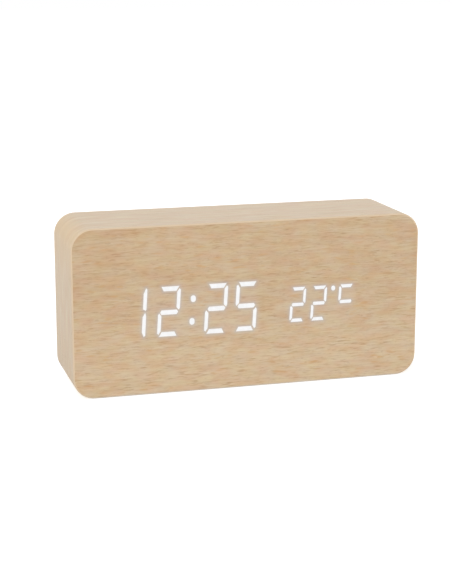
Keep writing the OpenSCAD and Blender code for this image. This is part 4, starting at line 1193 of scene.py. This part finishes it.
# %% [markdown]
# ## Small parts inside
# The parts inside show only through the slots, through the open door, or when the clock is taken
# apart, so they keep their solids. Each is moulded in its own colour: the light box is white, chips
# and switches are black, the lights have a yellow gel, the connectors are ivory, and the leads are red
# and black. One table holds the shades, the gloss and the texture of each, and a loop dresses them.

# %% Small parts
SMALL_PARTS = {
    "white_plastic": (
        ["light_box"],
        tone(224, 224, 220), tone(234, 234, 230), 0.45, 0.6, 0.01 * MM),
    "component_black": (
        ["clock_chip", "tact_switch_bodies", "usb_tongue", "buzzer", "temperature_sensor",
         "coin_cell_holder", "set_plunger", "up_plunger", "down_plunger"],
        tone(26, 26, 28), tone(36, 36, 38), 0.4, 0.55, 0.01 * MM),
    "connector_ivory": (
        ["ribbon_connectors"],
        tone(214, 206, 184), tone(224, 217, 196), 0.38, 0.5, 0.008 * MM),
    "chip_yellow": (
        ["led_chips"],
        tone(214, 198, 130), tone(230, 216, 150), 0.25, 0.4, 0.004 * MM),
    "wire_red": (
        ["red_lead"],
        tone(176, 26, 26), tone(190, 36, 32), 0.32, 0.42, 0.004 * MM),
    "wire_black": (
        ["black_lead"],
        tone(22, 22, 22), tone(32, 32, 32), 0.32, 0.42, 0.004 * MM)}

for name, (nodes, *look) in SMALL_PARTS.items():
    dress(nodes, plastic(name, *look))

# %% [markdown]
# ## Fibreboard
# The case under the veneer is pressed from fine wood fibres. Up close it is a felt without any grain,
# so one fine noise gives the felt and its relief, and a slow one the clouds of lighter and darker
# board.

# %% Fibreboard
FELT_FACTORS = (1.4, 1.4, 1.4)
CLOUD_FACTORS = (0.1, 0.1, 0.1)
FELT_DEPTH = 0.05 * MM

fibreboard, tree, shader = new_material("fibreboard")
place = millimetres(tree)
felt = noise(tree, scaled(tree, place, FELT_FACTORS), detail=4.0, roughness=0.7)
cloud = noise(tree, scaled(tree, place, CLOUD_FACTORS))
share = calc(tree, "ADD", times(tree, felt, 0.7), times(tree, cloud, 0.3))
tint = blend_colours(tree, between(tree, share, 0.35, 0.65), tone(166, 130, 92), tone(186, 152, 112))
connect(tree, shader, {"Base Color": tint, "Roughness": between(tree, felt, 0.2, 0.8, 0.75, 0.95)})
raised(tree, shader, felt, FELT_DEPTH)
dress(["case_frame", "front_board"], fibreboard)

# %% [markdown]
# ## Circuit boards
# Both boards are green, and copper under the lacquer raises it along the tracks. Drawing every track
# would be long work for what shows through a slot. Square cells of a Voronoi pattern have borders that
# run like tracks, and round spots of another make the tinned pads.

# %% Circuit boards
TRACK_SCALE = 0.28
PAD_SCALE = 0.22
COPPER_DEPTH = 0.03 * MM

circuit_board, tree, shader = new_material("circuit_board")
place = millimetres(tree)
runs = put(
    tree, "ShaderNodeTexVoronoi", {"Vector": place, "Scale": TRACK_SCALE},
    distance="CHEBYCHEV", feature="F1")
tracks = between(tree, runs.outputs["Distance"], 0.44, 0.5)
spots = put(tree, "ShaderNodeTexVoronoi", {"Vector": place, "Scale": PAD_SCALE}, feature="F1")
pads = between(tree, spots.outputs["Distance"], 0.12, 0.1)
tint = blend_colours(tree, tracks, tone(18, 84, 48), tone(40, 122, 74))
connect(tree, shader, {
    "Base Color": blend_colours(tree, pads, tint, tone(188, 190, 186)),
    "Roughness": between(tree, tracks, 0.0, 1.0, 0.28, 0.4), "Metallic": pads})
raised(tree, shader, calc(tree, "MAXIMUM", tracks, pads), COPPER_DEPTH)
dress(["display_board", "control_board"], circuit_board)

# %% [markdown]
# ## Ribbon cable
# The ribbon is a row of thin wires side by side in one grey skin. The wires could be modelled one by
# one, but it lies deep inside the case. A sine across it, one wave to a wire, gives the ridges, which
# are smoother than the valleys between them, and paints the ridges lighter and the valleys darker,
# as painted light and shade.

# %% Ribbon cable
WIRE_PITCH = 1.27
RIDGE_DEPTH = 0.2 * MM

ribbon_grey, tree, shader = new_material("ribbon_grey")
across = put(tree, "ShaderNodeSeparateXYZ", {0: millimetres(tree)}).outputs[0]
wave = calc(tree, "SINE", times(tree, across, 2 * math.pi / WIRE_PITCH))
ridges = between(tree, wave, -1.0, 1.0)
# Painted light and shade: lighter ridges, darker valleys between the wires.
connect(tree, shader, {
    "Base Color": blend_colours(tree, ridges, tone(146, 148, 152), tone(186, 188, 192)),
    "Roughness": between(tree, wave, -1.0, 1.0, 0.55, 0.4)})
raised(tree, shader, ridges, RIDGE_DEPTH)
dress(["ribbon_cable"], ribbon_grey)

# %% [markdown]
# ## Last look
# The dressed clock keeps to the box of the solids, apart from the lit fronts that stand a hair proud.
# Any solid that was forgotten would still have no finish, so those are counted.

# %% Solids without a finish
shown = {name: node for name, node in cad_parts.items() if not node.hide_render}
print("solids without a finish:", [name for name, node in shown.items() if not node.data.materials])
